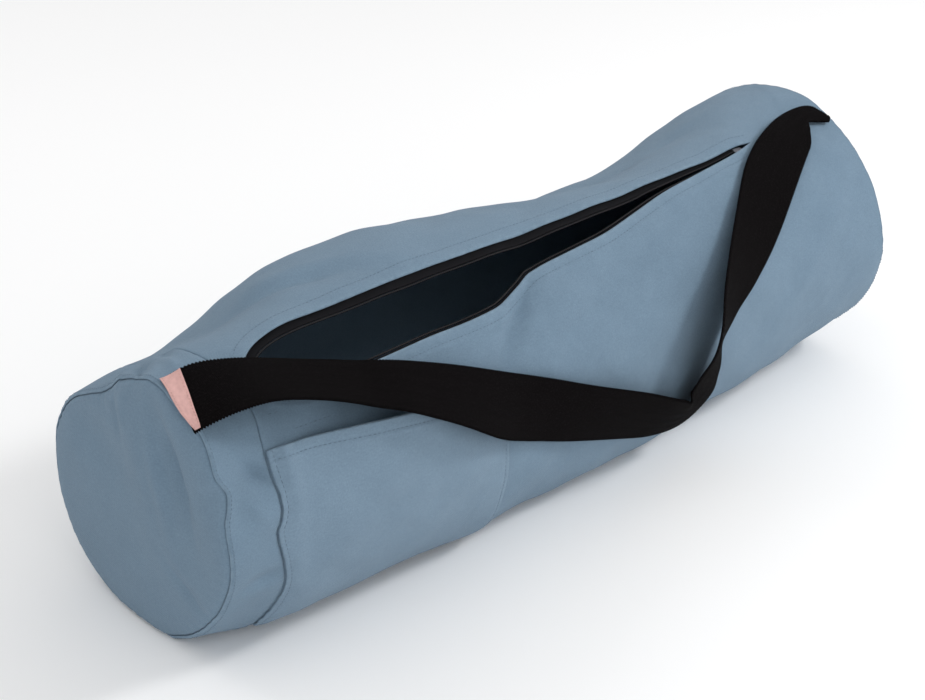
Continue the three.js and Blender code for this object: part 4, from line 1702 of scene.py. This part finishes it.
    def label_point(self, across: Array, down: Array, height: float) -> Array:
        """Points of the label, which narrows and bends down towards its lower end.

        Args:
            across: Shares of the label's width at that place.
            down: Shares of its length from the top.
            height: Height over the label's underside.

        Returns:
            The points.
        """
        seat = self.course(2, self.label_width)
        along = (seat.middle[1] - seat.middle[0]) / self.label_width
        left = read_along(LABEL, "left", down) / 1000
        right = read_along(LABEL, "right", down) / 1000
        travelled = left + (right - left) * across
        place = (down - 0.5) * self.label_length
        ripple = self.label_ripple * np.sin(across * 2.6 + down * 5.0)
        lifted = self.thickness / 2 + self.label_seat + ripple - self.label_bend * down**4 + height
        flat = seat.middle[0] + along * travelled[..., None] + seat.across[0] * place[..., None]
        return flat + seat.facing[0] * lifted[..., None] + self.settle(flat, np.abs(travelled))

    def build_label(self, finish: bpy.types.Material) -> bpy.types.Object:
        """Build the blank label.

        Args:
            finish: Its tape.

        Returns:
            The piece.
        """
        across = np.linspace(0, 1, self.label_columns)[:, None]
        down = np.linspace(0, 1, self.label_stations)[None, :]
        outer = self.label_point(across, down, self.label_thickness)
        inner = self.label_point(across, down, 0.0)
        pattern = vectors(across * self.label_width, down * self.label_length)
        return Shell(outer, inner, pattern).piece("label_tape", finish, Slot.LABEL, "label")


@dataclass(frozen=True)
class ThreadRow:
    """A row of points that stitches or teeth follow, with the way they face."""

    points: Array
    facing: Array


@dataclass(frozen=True)
class BeadSize:
    """Sizes of the bodies set along a row, in the order of the tree's inputs."""

    spacing: float
    length: float
    width: float
    height: float
    cord_radius: float = 0.0
    unevenness: float = 0.10


HEM_STITCH = BeadSize(spacing=0.0034, length=0.0025, width=0.00060, height=0.00050)
SEAM_STITCH = replace(HEM_STITCH, spacing=0.0028, length=0.0019, width=0.00052)
LABEL_STITCH = replace(SEAM_STITCH, spacing=0.0022, length=0.0015)
BEAD_INPUTS = ("Spacing", "Length", "Width", "Height", "Cord radius", "Unevenness")


def row_mesh(name: str, rows: Sequence[ThreadRow]) -> bpy.types.Mesh:
    """Build bare edges along rows of points, with their facing as an attribute.

    Args:
        name: Name of the mesh.
        rows: The rows.

    Returns:
        The mesh.
    """
    edges: list[tuple[int, int]] = []
    start = 0
    for row in rows:
        edges += [(start + i, start + i + 1) for i in range(len(row.points) - 1)]
        start += len(row.points)
    mesh = bpy.data.meshes.new(name)
    mesh.from_pydata(np.concatenate([row.points for row in rows]).tolist(), edges, [])
    facing = mesh.attributes.new("facing", "FLOAT_VECTOR", "POINT")
    facing.data.foreach_set("vector", np.concatenate([row.facing for row in rows]).ravel())
    return mesh


@dataclass
class RowTree:
    """A node tree that sets small rounded bodies along rows, with an optional cord."""

    name: str
    has_cord: bool = False
    tree: bpy.types.NodeTree = field(init=False)
    sockets: dict[str, str] = field(init=False, default_factory=dict)

    def __post_init__(self) -> None:
        """Build the tree."""
        self.tree = bpy.data.node_groups.new(self.name, "GeometryNodeTree")
        face = self.tree.interface
        face.new_socket("Geometry", in_out="INPUT", socket_type="NodeSocketGeometry")
        for label in BEAD_INPUTS:
            socket = face.new_socket(label, in_out="INPUT", socket_type="NodeSocketFloat")
            self.sockets[label] = socket.identifier
        socket = face.new_socket("Finish", in_out="INPUT", socket_type="NodeSocketMaterial")
        self.sockets["Finish"] = socket.identifier
        face.new_socket("Geometry", in_out="OUTPUT", socket_type="NodeSocketGeometry")
        self._wire()

    def _node(self, kind: str, links: dict[Any, Any] | None = None, **settings: Any) -> bpy.types.Node:
        """Add a node of a full type name to the tree."""
        return add_node(self.tree, kind, links, settings)

    def _wire(self) -> None:
        """Wire the tree from its rows to its realized bodies."""
        given = self._node("NodeGroupInput").outputs
        curve = self._node("GeometryNodeMeshToCurve", {"Mesh": given["Geometry"]}).outputs["Curve"]
        links = {"Curve": curve, "Length": given["Spacing"]}
        resample = self._node("GeometryNodeResampleCurve", links, mode="LENGTH")
        even = resample.outputs["Curve"]
        facing = self._node("GeometryNodeInputNamedAttribute", {"Name": "facing"}, data_type="FLOAT_VECTOR")
        tangent = self._node("GeometryNodeInputTangent").outputs["Tangent"]
        turned = self._node(
            "FunctionNodeAxesToRotation",
            {"Primary Axis": tangent, "Secondary Axis": facing.outputs["Attribute"]},
            primary_axis="X", secondary_axis="Z",
        )
        uneven = given["Unevenness"]
        least = self._node("ShaderNodeMath", {0: 1.0, 1: uneven}, operation="SUBTRACT").outputs[0]
        most = self._node("ShaderNodeMath", {0: 1.0, 1: uneven}, operation="ADD").outputs[0]
        links = {2: least, 3: most, "Seed": 7}
        vary = self._node("FunctionNodeRandomValue", links, data_type="FLOAT")
        sides = {0: given["Length"], 1: given["Width"], 2: given["Height"]}
        size = self._node("ShaderNodeCombineXYZ", sides)
        links = {0: size.outputs[0], "Scale": vary.outputs[1]}
        half = self._node("ShaderNodeVectorMath", links, operation="SCALE")
        bead = self._node("GeometryNodeMeshUVSphere", {"Segments": 8, "Rings": 5, "Radius": 0.5})
        placed = self._node(
            "GeometryNodeInstanceOnPoints",
            {
                "Points": even, "Instance": bead.outputs["Mesh"],
                "Rotation": turned.outputs["Rotation"], "Scale": half.outputs[0],
            },
        ).outputs["Instances"]
        if self.has_cord:
            links = {"Resolution": 6, "Radius": given["Cord radius"]}
            ring = self._node("GeometryNodeCurvePrimitiveCircle", links)
            links = {"Curve": even, "Profile Curve": ring.outputs["Curve"], "Fill Caps": True}
            cord = self._node("GeometryNodeCurveToMesh", links).outputs["Mesh"]
            join = self._node("GeometryNodeJoinGeometry")
            self.tree.links.new(placed, join.inputs[0])
            self.tree.links.new(cord, join.inputs[0])
            placed = join.outputs[0]
        solid = self._node("GeometryNodeRealizeInstances", {"Geometry": placed}).outputs["Geometry"]
        smooth = self._node("GeometryNodeSetShadeSmooth", {"Geometry": solid}).outputs["Geometry"]
        links = {"Geometry": smooth, "Material": given["Finish"]}
        dressed = self._node("GeometryNodeSetMaterial", links).outputs["Geometry"]
        self._node("NodeGroupOutput", {"Geometry": dressed})

    def bake(
        self, name: str, rows: Sequence[ThreadRow], finish: bpy.types.Material, size: BeadSize
    ) -> bpy.types.Mesh:
        """Run the tree over rows and keep the result as a plain mesh.

        Args:
            name: Name of the result.
            rows: The rows to follow.
            finish: Material of the bodies.
            size: Sizes of the bodies.

        Returns:
            The mesh.
        """
        carrier = add_object(name + "_rows", row_mesh(name + "_rows", rows))
        modifier = carrier.modifiers.new("rows", "NODES")
        modifier.node_group = self.tree
        for label, value in zip(BEAD_INPUTS, astuple(size)):
            modifier[self.sockets[label]] = value
        modifier[self.sockets["Finish"]] = finish
        graph = bpy.context.evaluated_depsgraph_get()
        mesh = bpy.data.meshes.new_from_object(carrier.evaluated_get(graph), depsgraph=graph)
        mesh.name = name
        carrier.modifiers.clear()
        bare = carrier.data
        bpy.data.objects.remove(carrier)
        bpy.data.meshes.remove(bare)
        return mesh


# Half a plate of the slider, its post and their heights, as shares of the slider's sizes
SLIDER_SIDE = ((-0.5, -0.5), (0.12, -0.5), (0.34, -0.40), (0.5, -0.2))
SLIDER_PLATE = SLIDER_SIDE + tuple((u, -v) for u, v in reversed(SLIDER_SIDE))
SLIDER_POST = ((0.05, -0.14), (0.46, -0.14), (0.46, 0.14), (0.05, 0.14))
SLIDER_LAYERS = ((SLIDER_PLATE, 0.0, 0.3), (SLIDER_PLATE, 0.7, 1.0), (SLIDER_POST, 0.28, 0.72))


@dataclass
class Zip:
    """The zip: two tapes under the lips, their toothed edges and the slider."""

    form: BagForm
    tape_wall: float = 0.0008
    tape_cover: float = 0.008
    show_back: float = 0.007
    show_front: float = 0.0025
    coil_width: float = 0.0022
    coil_height: float = 0.0016
    tooth_pitch: float = 0.0016
    tooth_length: float = 0.00115
    tooth_unevenness: float = 0.03
    cord_radius: float = 0.00055
    slider_length: float = 0.009
    slider_width: float = 0.005
    slider_height: float = 0.0032
    start: float = -0.2745
    end: float = 0.2174
    stations: int = 330
    columns: int = 14
    ripple: float = 0.00025
    ripple_reach: float = 0.004
    ripple_rate: float = 190.0
    bevel: float = 0.00018

    @property
    def drop(self) -> float:
        """Depth of the tapes under the cloth's outer face."""
        return self.form.wall + self.form.hem_rise + self.form.layer_gap

    def show(self, lip: Lip) -> float:
        """How far the tape shows past a lip."""
        return self.show_back if lip is Lip.BACK else self.show_front

    def lip_point(self, lip: Lip, x: Array, distance: Array, drop: Array) -> Array:
        """Points at a distance past a lip into the opening.

        Args:
            lip: The lip.
            x: Places along the bag.
            distance: Distance past the lip, negative under the cloth.
            drop: Depth under the cloth's outer face.

        Returns:
            The points.
        """
        form = self.form
        reach = np.minimum(1, form.half_opening(x) / (self.show_back + self.coil_width + 2 * form.gap))
        kept = np.where(distance > 0, distance * reach, distance)
        side = 1 if lip is Lip.FRONT else -1
        return form.point(x, form.lips(x)[lip] + side * kept * form.turn_per_metre, drop)

    def build_tape(self, lip: Lip, finish: bpy.types.Material) -> bpy.types.Object:
        """Build one tape.

        Args:
            lip: The lip it lies under.
            finish: Its twill.

        Returns:
            The piece.
        """
        x = np.linspace(self.start, self.end, self.stations)[:, None]
        across = np.linspace(-self.tape_cover, self.show(lip), self.columns)[None, :]
        ripple = self.ripple * np.sin(x * self.ripple_rate) * np.clip(across / self.ripple_reach, 0, 1)
        outer = self.lip_point(lip, x, across, self.drop + ripple)
        inner = self.lip_point(lip, x, across, self.drop + self.tape_wall + ripple)
        pattern = vectors(x, across)
        name = f"zip_tape_{lip.value}"
        return Shell(outer, inner, pattern).piece(name + "_twill", finish, Slot.ZIP_TAPE, name)

    def build_coil(self, lip: Lip, tree: RowTree, finish: bpy.types.Material) -> bpy.types.Object:
        """Build one toothed edge.

        Args:
            lip: The lip whose tape carries it.
            tree: The node tree that sets the teeth.
            finish: Its plastic.

        Returns:
            The piece.
        """
        x = np.linspace(self.start, self.end, self.stations)
        distance = self.show(lip) + self.form.gap + self.coil_width / 2
        points = self.lip_point(lip, x, np.full_like(x, distance), self.drop + self.tape_wall / 2)
        angle = np.radians(self.form.lips(x)[lip])
        facing = outwards(angle)
        size = BeadSize(
            self.tooth_pitch, self.tooth_length, self.coil_width, self.coil_height,
            cord_radius=self.cord_radius, unevenness=self.tooth_unevenness,
        )
        name = f"zip_coil_{lip.value}"
        mesh = tree.bake(name + "_teeth", [ThreadRow(points, facing)], finish, size)
        return place_piece(name + "_teeth", mesh, finish, [name])

    def build_slider(self, finish: bpy.types.Material) -> bpy.types.Object:
        """Build the slider: two wedge plates joined by a post.

        Args:
            finish: Its metal.

        Returns:
            The piece.
        """
        form = self.form
        x = self.end + form.gap + self.slider_length / 2
        lips = form.lips(np.array(x))
        angle = math.radians(float(lips[Lip.FRONT] + lips[Lip.BACK]) / 2)
        depth = self.drop + self.slider_height
        base = Vector(form.point(np.array(x), np.array(math.degrees(angle)), depth))
        out = Vector((0, -math.cos(angle), math.sin(angle)))
        side = Vector((0, math.sin(angle), math.cos(angle)))
        length, width, height = self.slider_length, self.slider_width, self.slider_height
        work = bmesh.new()
        for outline, low, high in SLIDER_LAYERS:
            corners = [Vector((length * u, 0, 0)) + side * (width * v) for u, v in outline]
            ring = [work.verts.new(base + corner + out * (height * low)) for corner in corners]
            top = [work.verts.new(base + corner + out * (height * high)) for corner in corners]
            work.faces.new(ring)
            work.faces.new(top)
            for i in range(len(ring)):
                j = (i + 1) % len(ring)
                work.faces.new((ring[i], ring[j], top[j], top[i]))
        bmesh.ops.recalc_face_normals(work, faces=work.faces)
        bmesh.ops.bevel(work, geom=list(work.edges), offset=self.bevel, segments=2, affect="EDGES")
        mesh = bpy.data.meshes.new("zip_slider_metal")
        work.to_mesh(mesh)
        work.free()
        return place_piece("zip_slider_metal", mesh, finish, ["zip_slider"])


@dataclass(frozen=True)
class ShortRow:
    """A short row of stitches: its two ends, along the bag and round it."""

    start: float
    end: float
    start_angle: float
    end_angle: float
    points: int


SHORT_ROWS = (
    ShortRow(-0.262, -0.236, 34.8, 34.0, 40),
    ShortRow(-0.284, -0.272, 43.0, 42.4, 20),
)


@dataclass
class Stitching:
    """The rows of stitches on hems, end seams, pocket, body and label."""

    form: BagForm
    panel: BodyPanel
    pocket: PatchPocket
    strap: ShoulderStrap
    tree: RowTree
    sunk: float = 0.00012
    seam_distance: float = 0.0016
    label_sides: tuple[float, float] = (0.12, 0.88)
    label_points: int = 60
    label_margin: float = 0.03
    hem_points: int = 420
    hem_margins: tuple[float, float] = (0.004, 0.001)
    seam_points: int = 700
    seam_turn: float = 358.5
    pocket_points: int = 260
    side_points: int = 220
    side_margins: tuple[float, float] = (0.001, 0.002)

    def _row(self, x: Array, angle: Array, drop: Array) -> ThreadRow:
        """A row of stitches on the cloth at places along the bag and round it."""
        x, angle, drop = np.broadcast_arrays(x, angle, drop)
        return ThreadRow(self.form.point(x, angle, drop - self.sunk), outwards(np.radians(angle)))

    def hem_rows(self) -> list[ThreadRow]:
        """Rows along both lips of the opening."""
        form = self.form
        before, past = self.hem_margins
        x = np.linspace(form.opening_start + before, form.opening_end + past, self.hem_points)
        lips = form.lips(x)
        rows = []
        for lip, side, stitch in (
            (Lip.FRONT, -1, self.panel.front_stitch), (Lip.BACK, 1, self.panel.back_stitch),
        ):
            rise = form.hem_height(x, np.full_like(x, stitch), stitch)
            rows.append(self._row(x, lips[lip] + side * stitch * form.turn_per_metre, -rise))
        return rows

    def seam_rows(self) -> list[ThreadRow]:
        """Rows beside the left and the right end seam."""
        form = self.form
        ring = 90 - np.linspace(0, self.seam_turn, self.seam_points)
        places = (form.left_end + self.seam_distance, form.right_end - self.seam_distance)
        return [self._row(place, ring, form.groove(self.seam_distance)) for place in places]

    def short_rows(self) -> list[ThreadRow]:
        """Two short rows on the body between the pocket and the opening."""
        rows = []
        for row in SHORT_ROWS:
            angles = np.linspace(row.start_angle, row.end_angle, row.points)
            rows.append(self._row(np.linspace(row.start, row.end, row.points), angles, 0.0))
        return rows

    def pocket_rows(self) -> list[ThreadRow]:
        """Rows along the pocket's hem and its sewn sides."""
        form = self.form
        end = form.pocket_end
        margin = self.pocket.side_stitch
        x = np.linspace(form.pocket_start + margin, end - margin, self.pocket_points)
        at = self.pocket.stitch_point(x, np.full_like(x, self.pocket.hem_stitch))
        rows = [self._row(at[:, 0], at[:, 1], at[:, 2])]
        above, under = self.side_margins
        for side in (form.pocket_start + margin, end - margin):
            share = (side - form.pocket_start) / form.pocket_length
            span = float(form.pocket_top(share) - form.pocket_bottom) / form.turn_per_metre
            below = np.linspace(above, span - under, self.side_points)
            at = self.pocket.stitch_point(np.full_like(below, side), below)
            rows.append(self._row(at[:, 0], at[:, 1], at[:, 2]))
        return rows

    def label_rows(self) -> list[ThreadRow]:
        """Rows along the label's two long edges."""
        strap = self.strap
        down = np.linspace(self.label_margin, 1 - self.label_margin, self.label_points)
        facing = np.broadcast_to(strap.course(2, strap.label_width).facing[0], (len(down), 3))
        return [
            ThreadRow(strap.label_point(np.full_like(down, side), down, strap.label_thickness), facing)
            for side in self.label_sides
        ]

    def build(
        self, canvas_thread: bpy.types.Material, label_thread: bpy.types.Material
    ) -> list[bpy.types.Object]:
        """Build every row of stitches.

        Args:
            canvas_thread: Thread of the canvas seams.
            label_thread: Thread of the label.

        Returns:
            The pieces.
        """
        made = []
        jobs = (
            ("hem_stitches", self.hem_rows(), canvas_thread, HEM_STITCH, Slot.CANVAS),
            ("seam_stitches", self.seam_rows(), canvas_thread, SEAM_STITCH, Slot.CANVAS),
            ("body_stitches", self.short_rows(), canvas_thread, HEM_STITCH, Slot.CANVAS),
            ("pocket_stitches", self.pocket_rows(), canvas_thread, HEM_STITCH, Slot.CANVAS),
            ("label_stitches", self.label_rows(), label_thread, LABEL_STITCH, Slot.LABEL),
        )
        for name, rows, thread, size, slot in jobs:
            mesh = self.tree.bake(name, rows, thread, size)
            made.append(place_piece(name, mesh, thread))
        return made


def facing_turn(place: Sequence[float], target: Sequence[float]) -> Any:
    """Turn of a light or camera at a place that looks at a target."""
    return (Vector(target) - Vector(place)).to_track_quat("-Z", "Y").to_euler()


@dataclass(frozen=True)
class LightRow:
    """A square light: where it hangs, its side in metres and its power in watts."""

    name: str
    place: tuple[float, float, float]
    size: float
    power: float


LIGHTS = (
    LightRow("key_light", (1.20, -0.95, 1.25), 0.35, 14.0),
    LightRow("back_light", (-0.55, 1.25, 1.5), 0.8, 4.0),
    LightRow("front_fill", (-0.4, -1.9, 1.1), 1.6, 6.0),
)


@dataclass
class Studio:
    """The pale floor, the soft light and the camera at the picture's angle."""

    focal_pixels: float = 2000.0
    image_width: float = 925.0
    sensor: float = 36.0
    eye: tuple[float, float, float] = (-0.9210, -0.9724, 0.8262)
    target: tuple[float, float, float] = (-0.0263, 0.0112, 0.0950)
    floor_size: float = 14.0
    floor_height: float = -0.0002
    light_target: tuple[float, float, float] = (0.0, 0.0, 0.08)
    world_strength: float = 0.76

    def build_floor(self, finish: bpy.types.Material) -> bpy.types.Object:
        """Lay the floor.

        Args:
            finish: Its material.

        Returns:
            The floor.
        """
        half = self.floor_size / 2
        mesh = bpy.data.meshes.new("studio_floor")
        sides = ((-half, -half), (half, -half), (half, half), (-half, half))
        mesh.from_pydata([(x, y, self.floor_height) for x, y in sides], [], [(0, 1, 2, 3)])
        mesh.materials.append(finish)
        floor = add_object("studio_floor", mesh)
        return floor

    def add_light(self, row: LightRow) -> bpy.types.Object:
        """Hang a soft square light that looks at the bag.

        Args:
            row: The light.

        Returns:
            The light's object.
        """
        data = bpy.data.lights.new(row.name, "AREA")
        data.shape = "SQUARE"
        data.size = row.size
        data.energy = row.power
        light = add_object(row.name, data)
        light.location = row.place
        light.rotation_euler = facing_turn(row.place, self.light_target)
        return light

    def build_light(self) -> None:
        """Light the bag from the right, the back and the front, in a pale room."""
        world = bpy.data.worlds.new("pale_room")
        world.use_nodes = True
        sky = world.node_tree.nodes["Background"]
        sky.inputs["Color"].default_value = (1.0, 1.0, 1.0, 1.0)
        sky.inputs["Strength"].default_value = self.world_strength
        bpy.context.scene.world = world
        bpy.context.scene.view_settings.view_transform = "Standard"
        for row in LIGHTS:
            self.add_light(row)

    def build_camera(self) -> bpy.types.Object:
        """Set the camera at the picture's angle."""
        data = bpy.data.cameras.new("picture_camera")
        data.sensor_width = self.sensor
        data.lens = self.focal_pixels / self.image_width * self.sensor
        camera = add_object("picture_camera", data)
        camera.location = self.eye
        camera.rotation_euler = facing_turn(self.eye, self.target)
        bpy.context.scene.camera = camera
        return camera


def corners(box: Any) -> list[list[float]]:
    """A box as two plain lists of numbers."""
    return [[float(value) for value in corner] for corner in box]


def main() -> None:
    """Build the bag, its finishes and its studio, and report each piece."""
    logging.basicConfig(level=logging.INFO, format="%(name)s: %(message)s")
    studio = Studio()
    studio.build_camera()

    form = BagForm()
    canvas = CanvasFinish("blue_grey_canvas").make()
    # The pocket gets a lighter copy of the same canvas: painted light on the pocket
    pocket_canvas_painted_lighter = CanvasFinish(
        "blue_grey_canvas_painted_lighter", colour=(0.204, 0.296, 0.388), shade=(0.176, 0.260, 0.346)
    ).make()
    webbing = WebbingFinish().make()
    tape = TapeFinish().make()
    coil = CoilFinish().make()
    metal = MetalFinish().make()
    label = LabelFinish().make()
    canvas_thread = ThreadFinish(
        "blue_grey_thread", colour=(0.155, 0.225, 0.295), shade=(0.105, 0.158, 0.215)
    ).make()
    label_thread = ThreadFinish(
        "dusty_pink_thread", colour=(0.62, 0.36, 0.33), shade=(0.48, 0.27, 0.25)
    ).make()

    panel = BodyPanel(form)
    panel.build(canvas)
    CuffBand(form).build(canvas)
    for end in End:
        EndDisc(form, end).build(canvas)
    pocket = PatchPocket(form)
    pocket.build(pocket_canvas_painted_lighter)
    zip_parts = Zip(form)
    teeth = RowTree("zip_teeth", has_cord=True)
    for lip in Lip:
        zip_parts.build_tape(lip, tape)
        zip_parts.build_coil(lip, teeth, coil)
    zip_parts.build_slider(metal)
    strap = ShoulderStrap(form)
    strap.build_strap(webbing)
    strap.build_label(label)
    Stitching(form, panel, pocket, strap, RowTree("stitch_rows")).build(canvas_thread, label_thread)
    studio.build_floor(FloorFinish().make())
    studio.build_light()


if __name__ == "__main__":
    main()
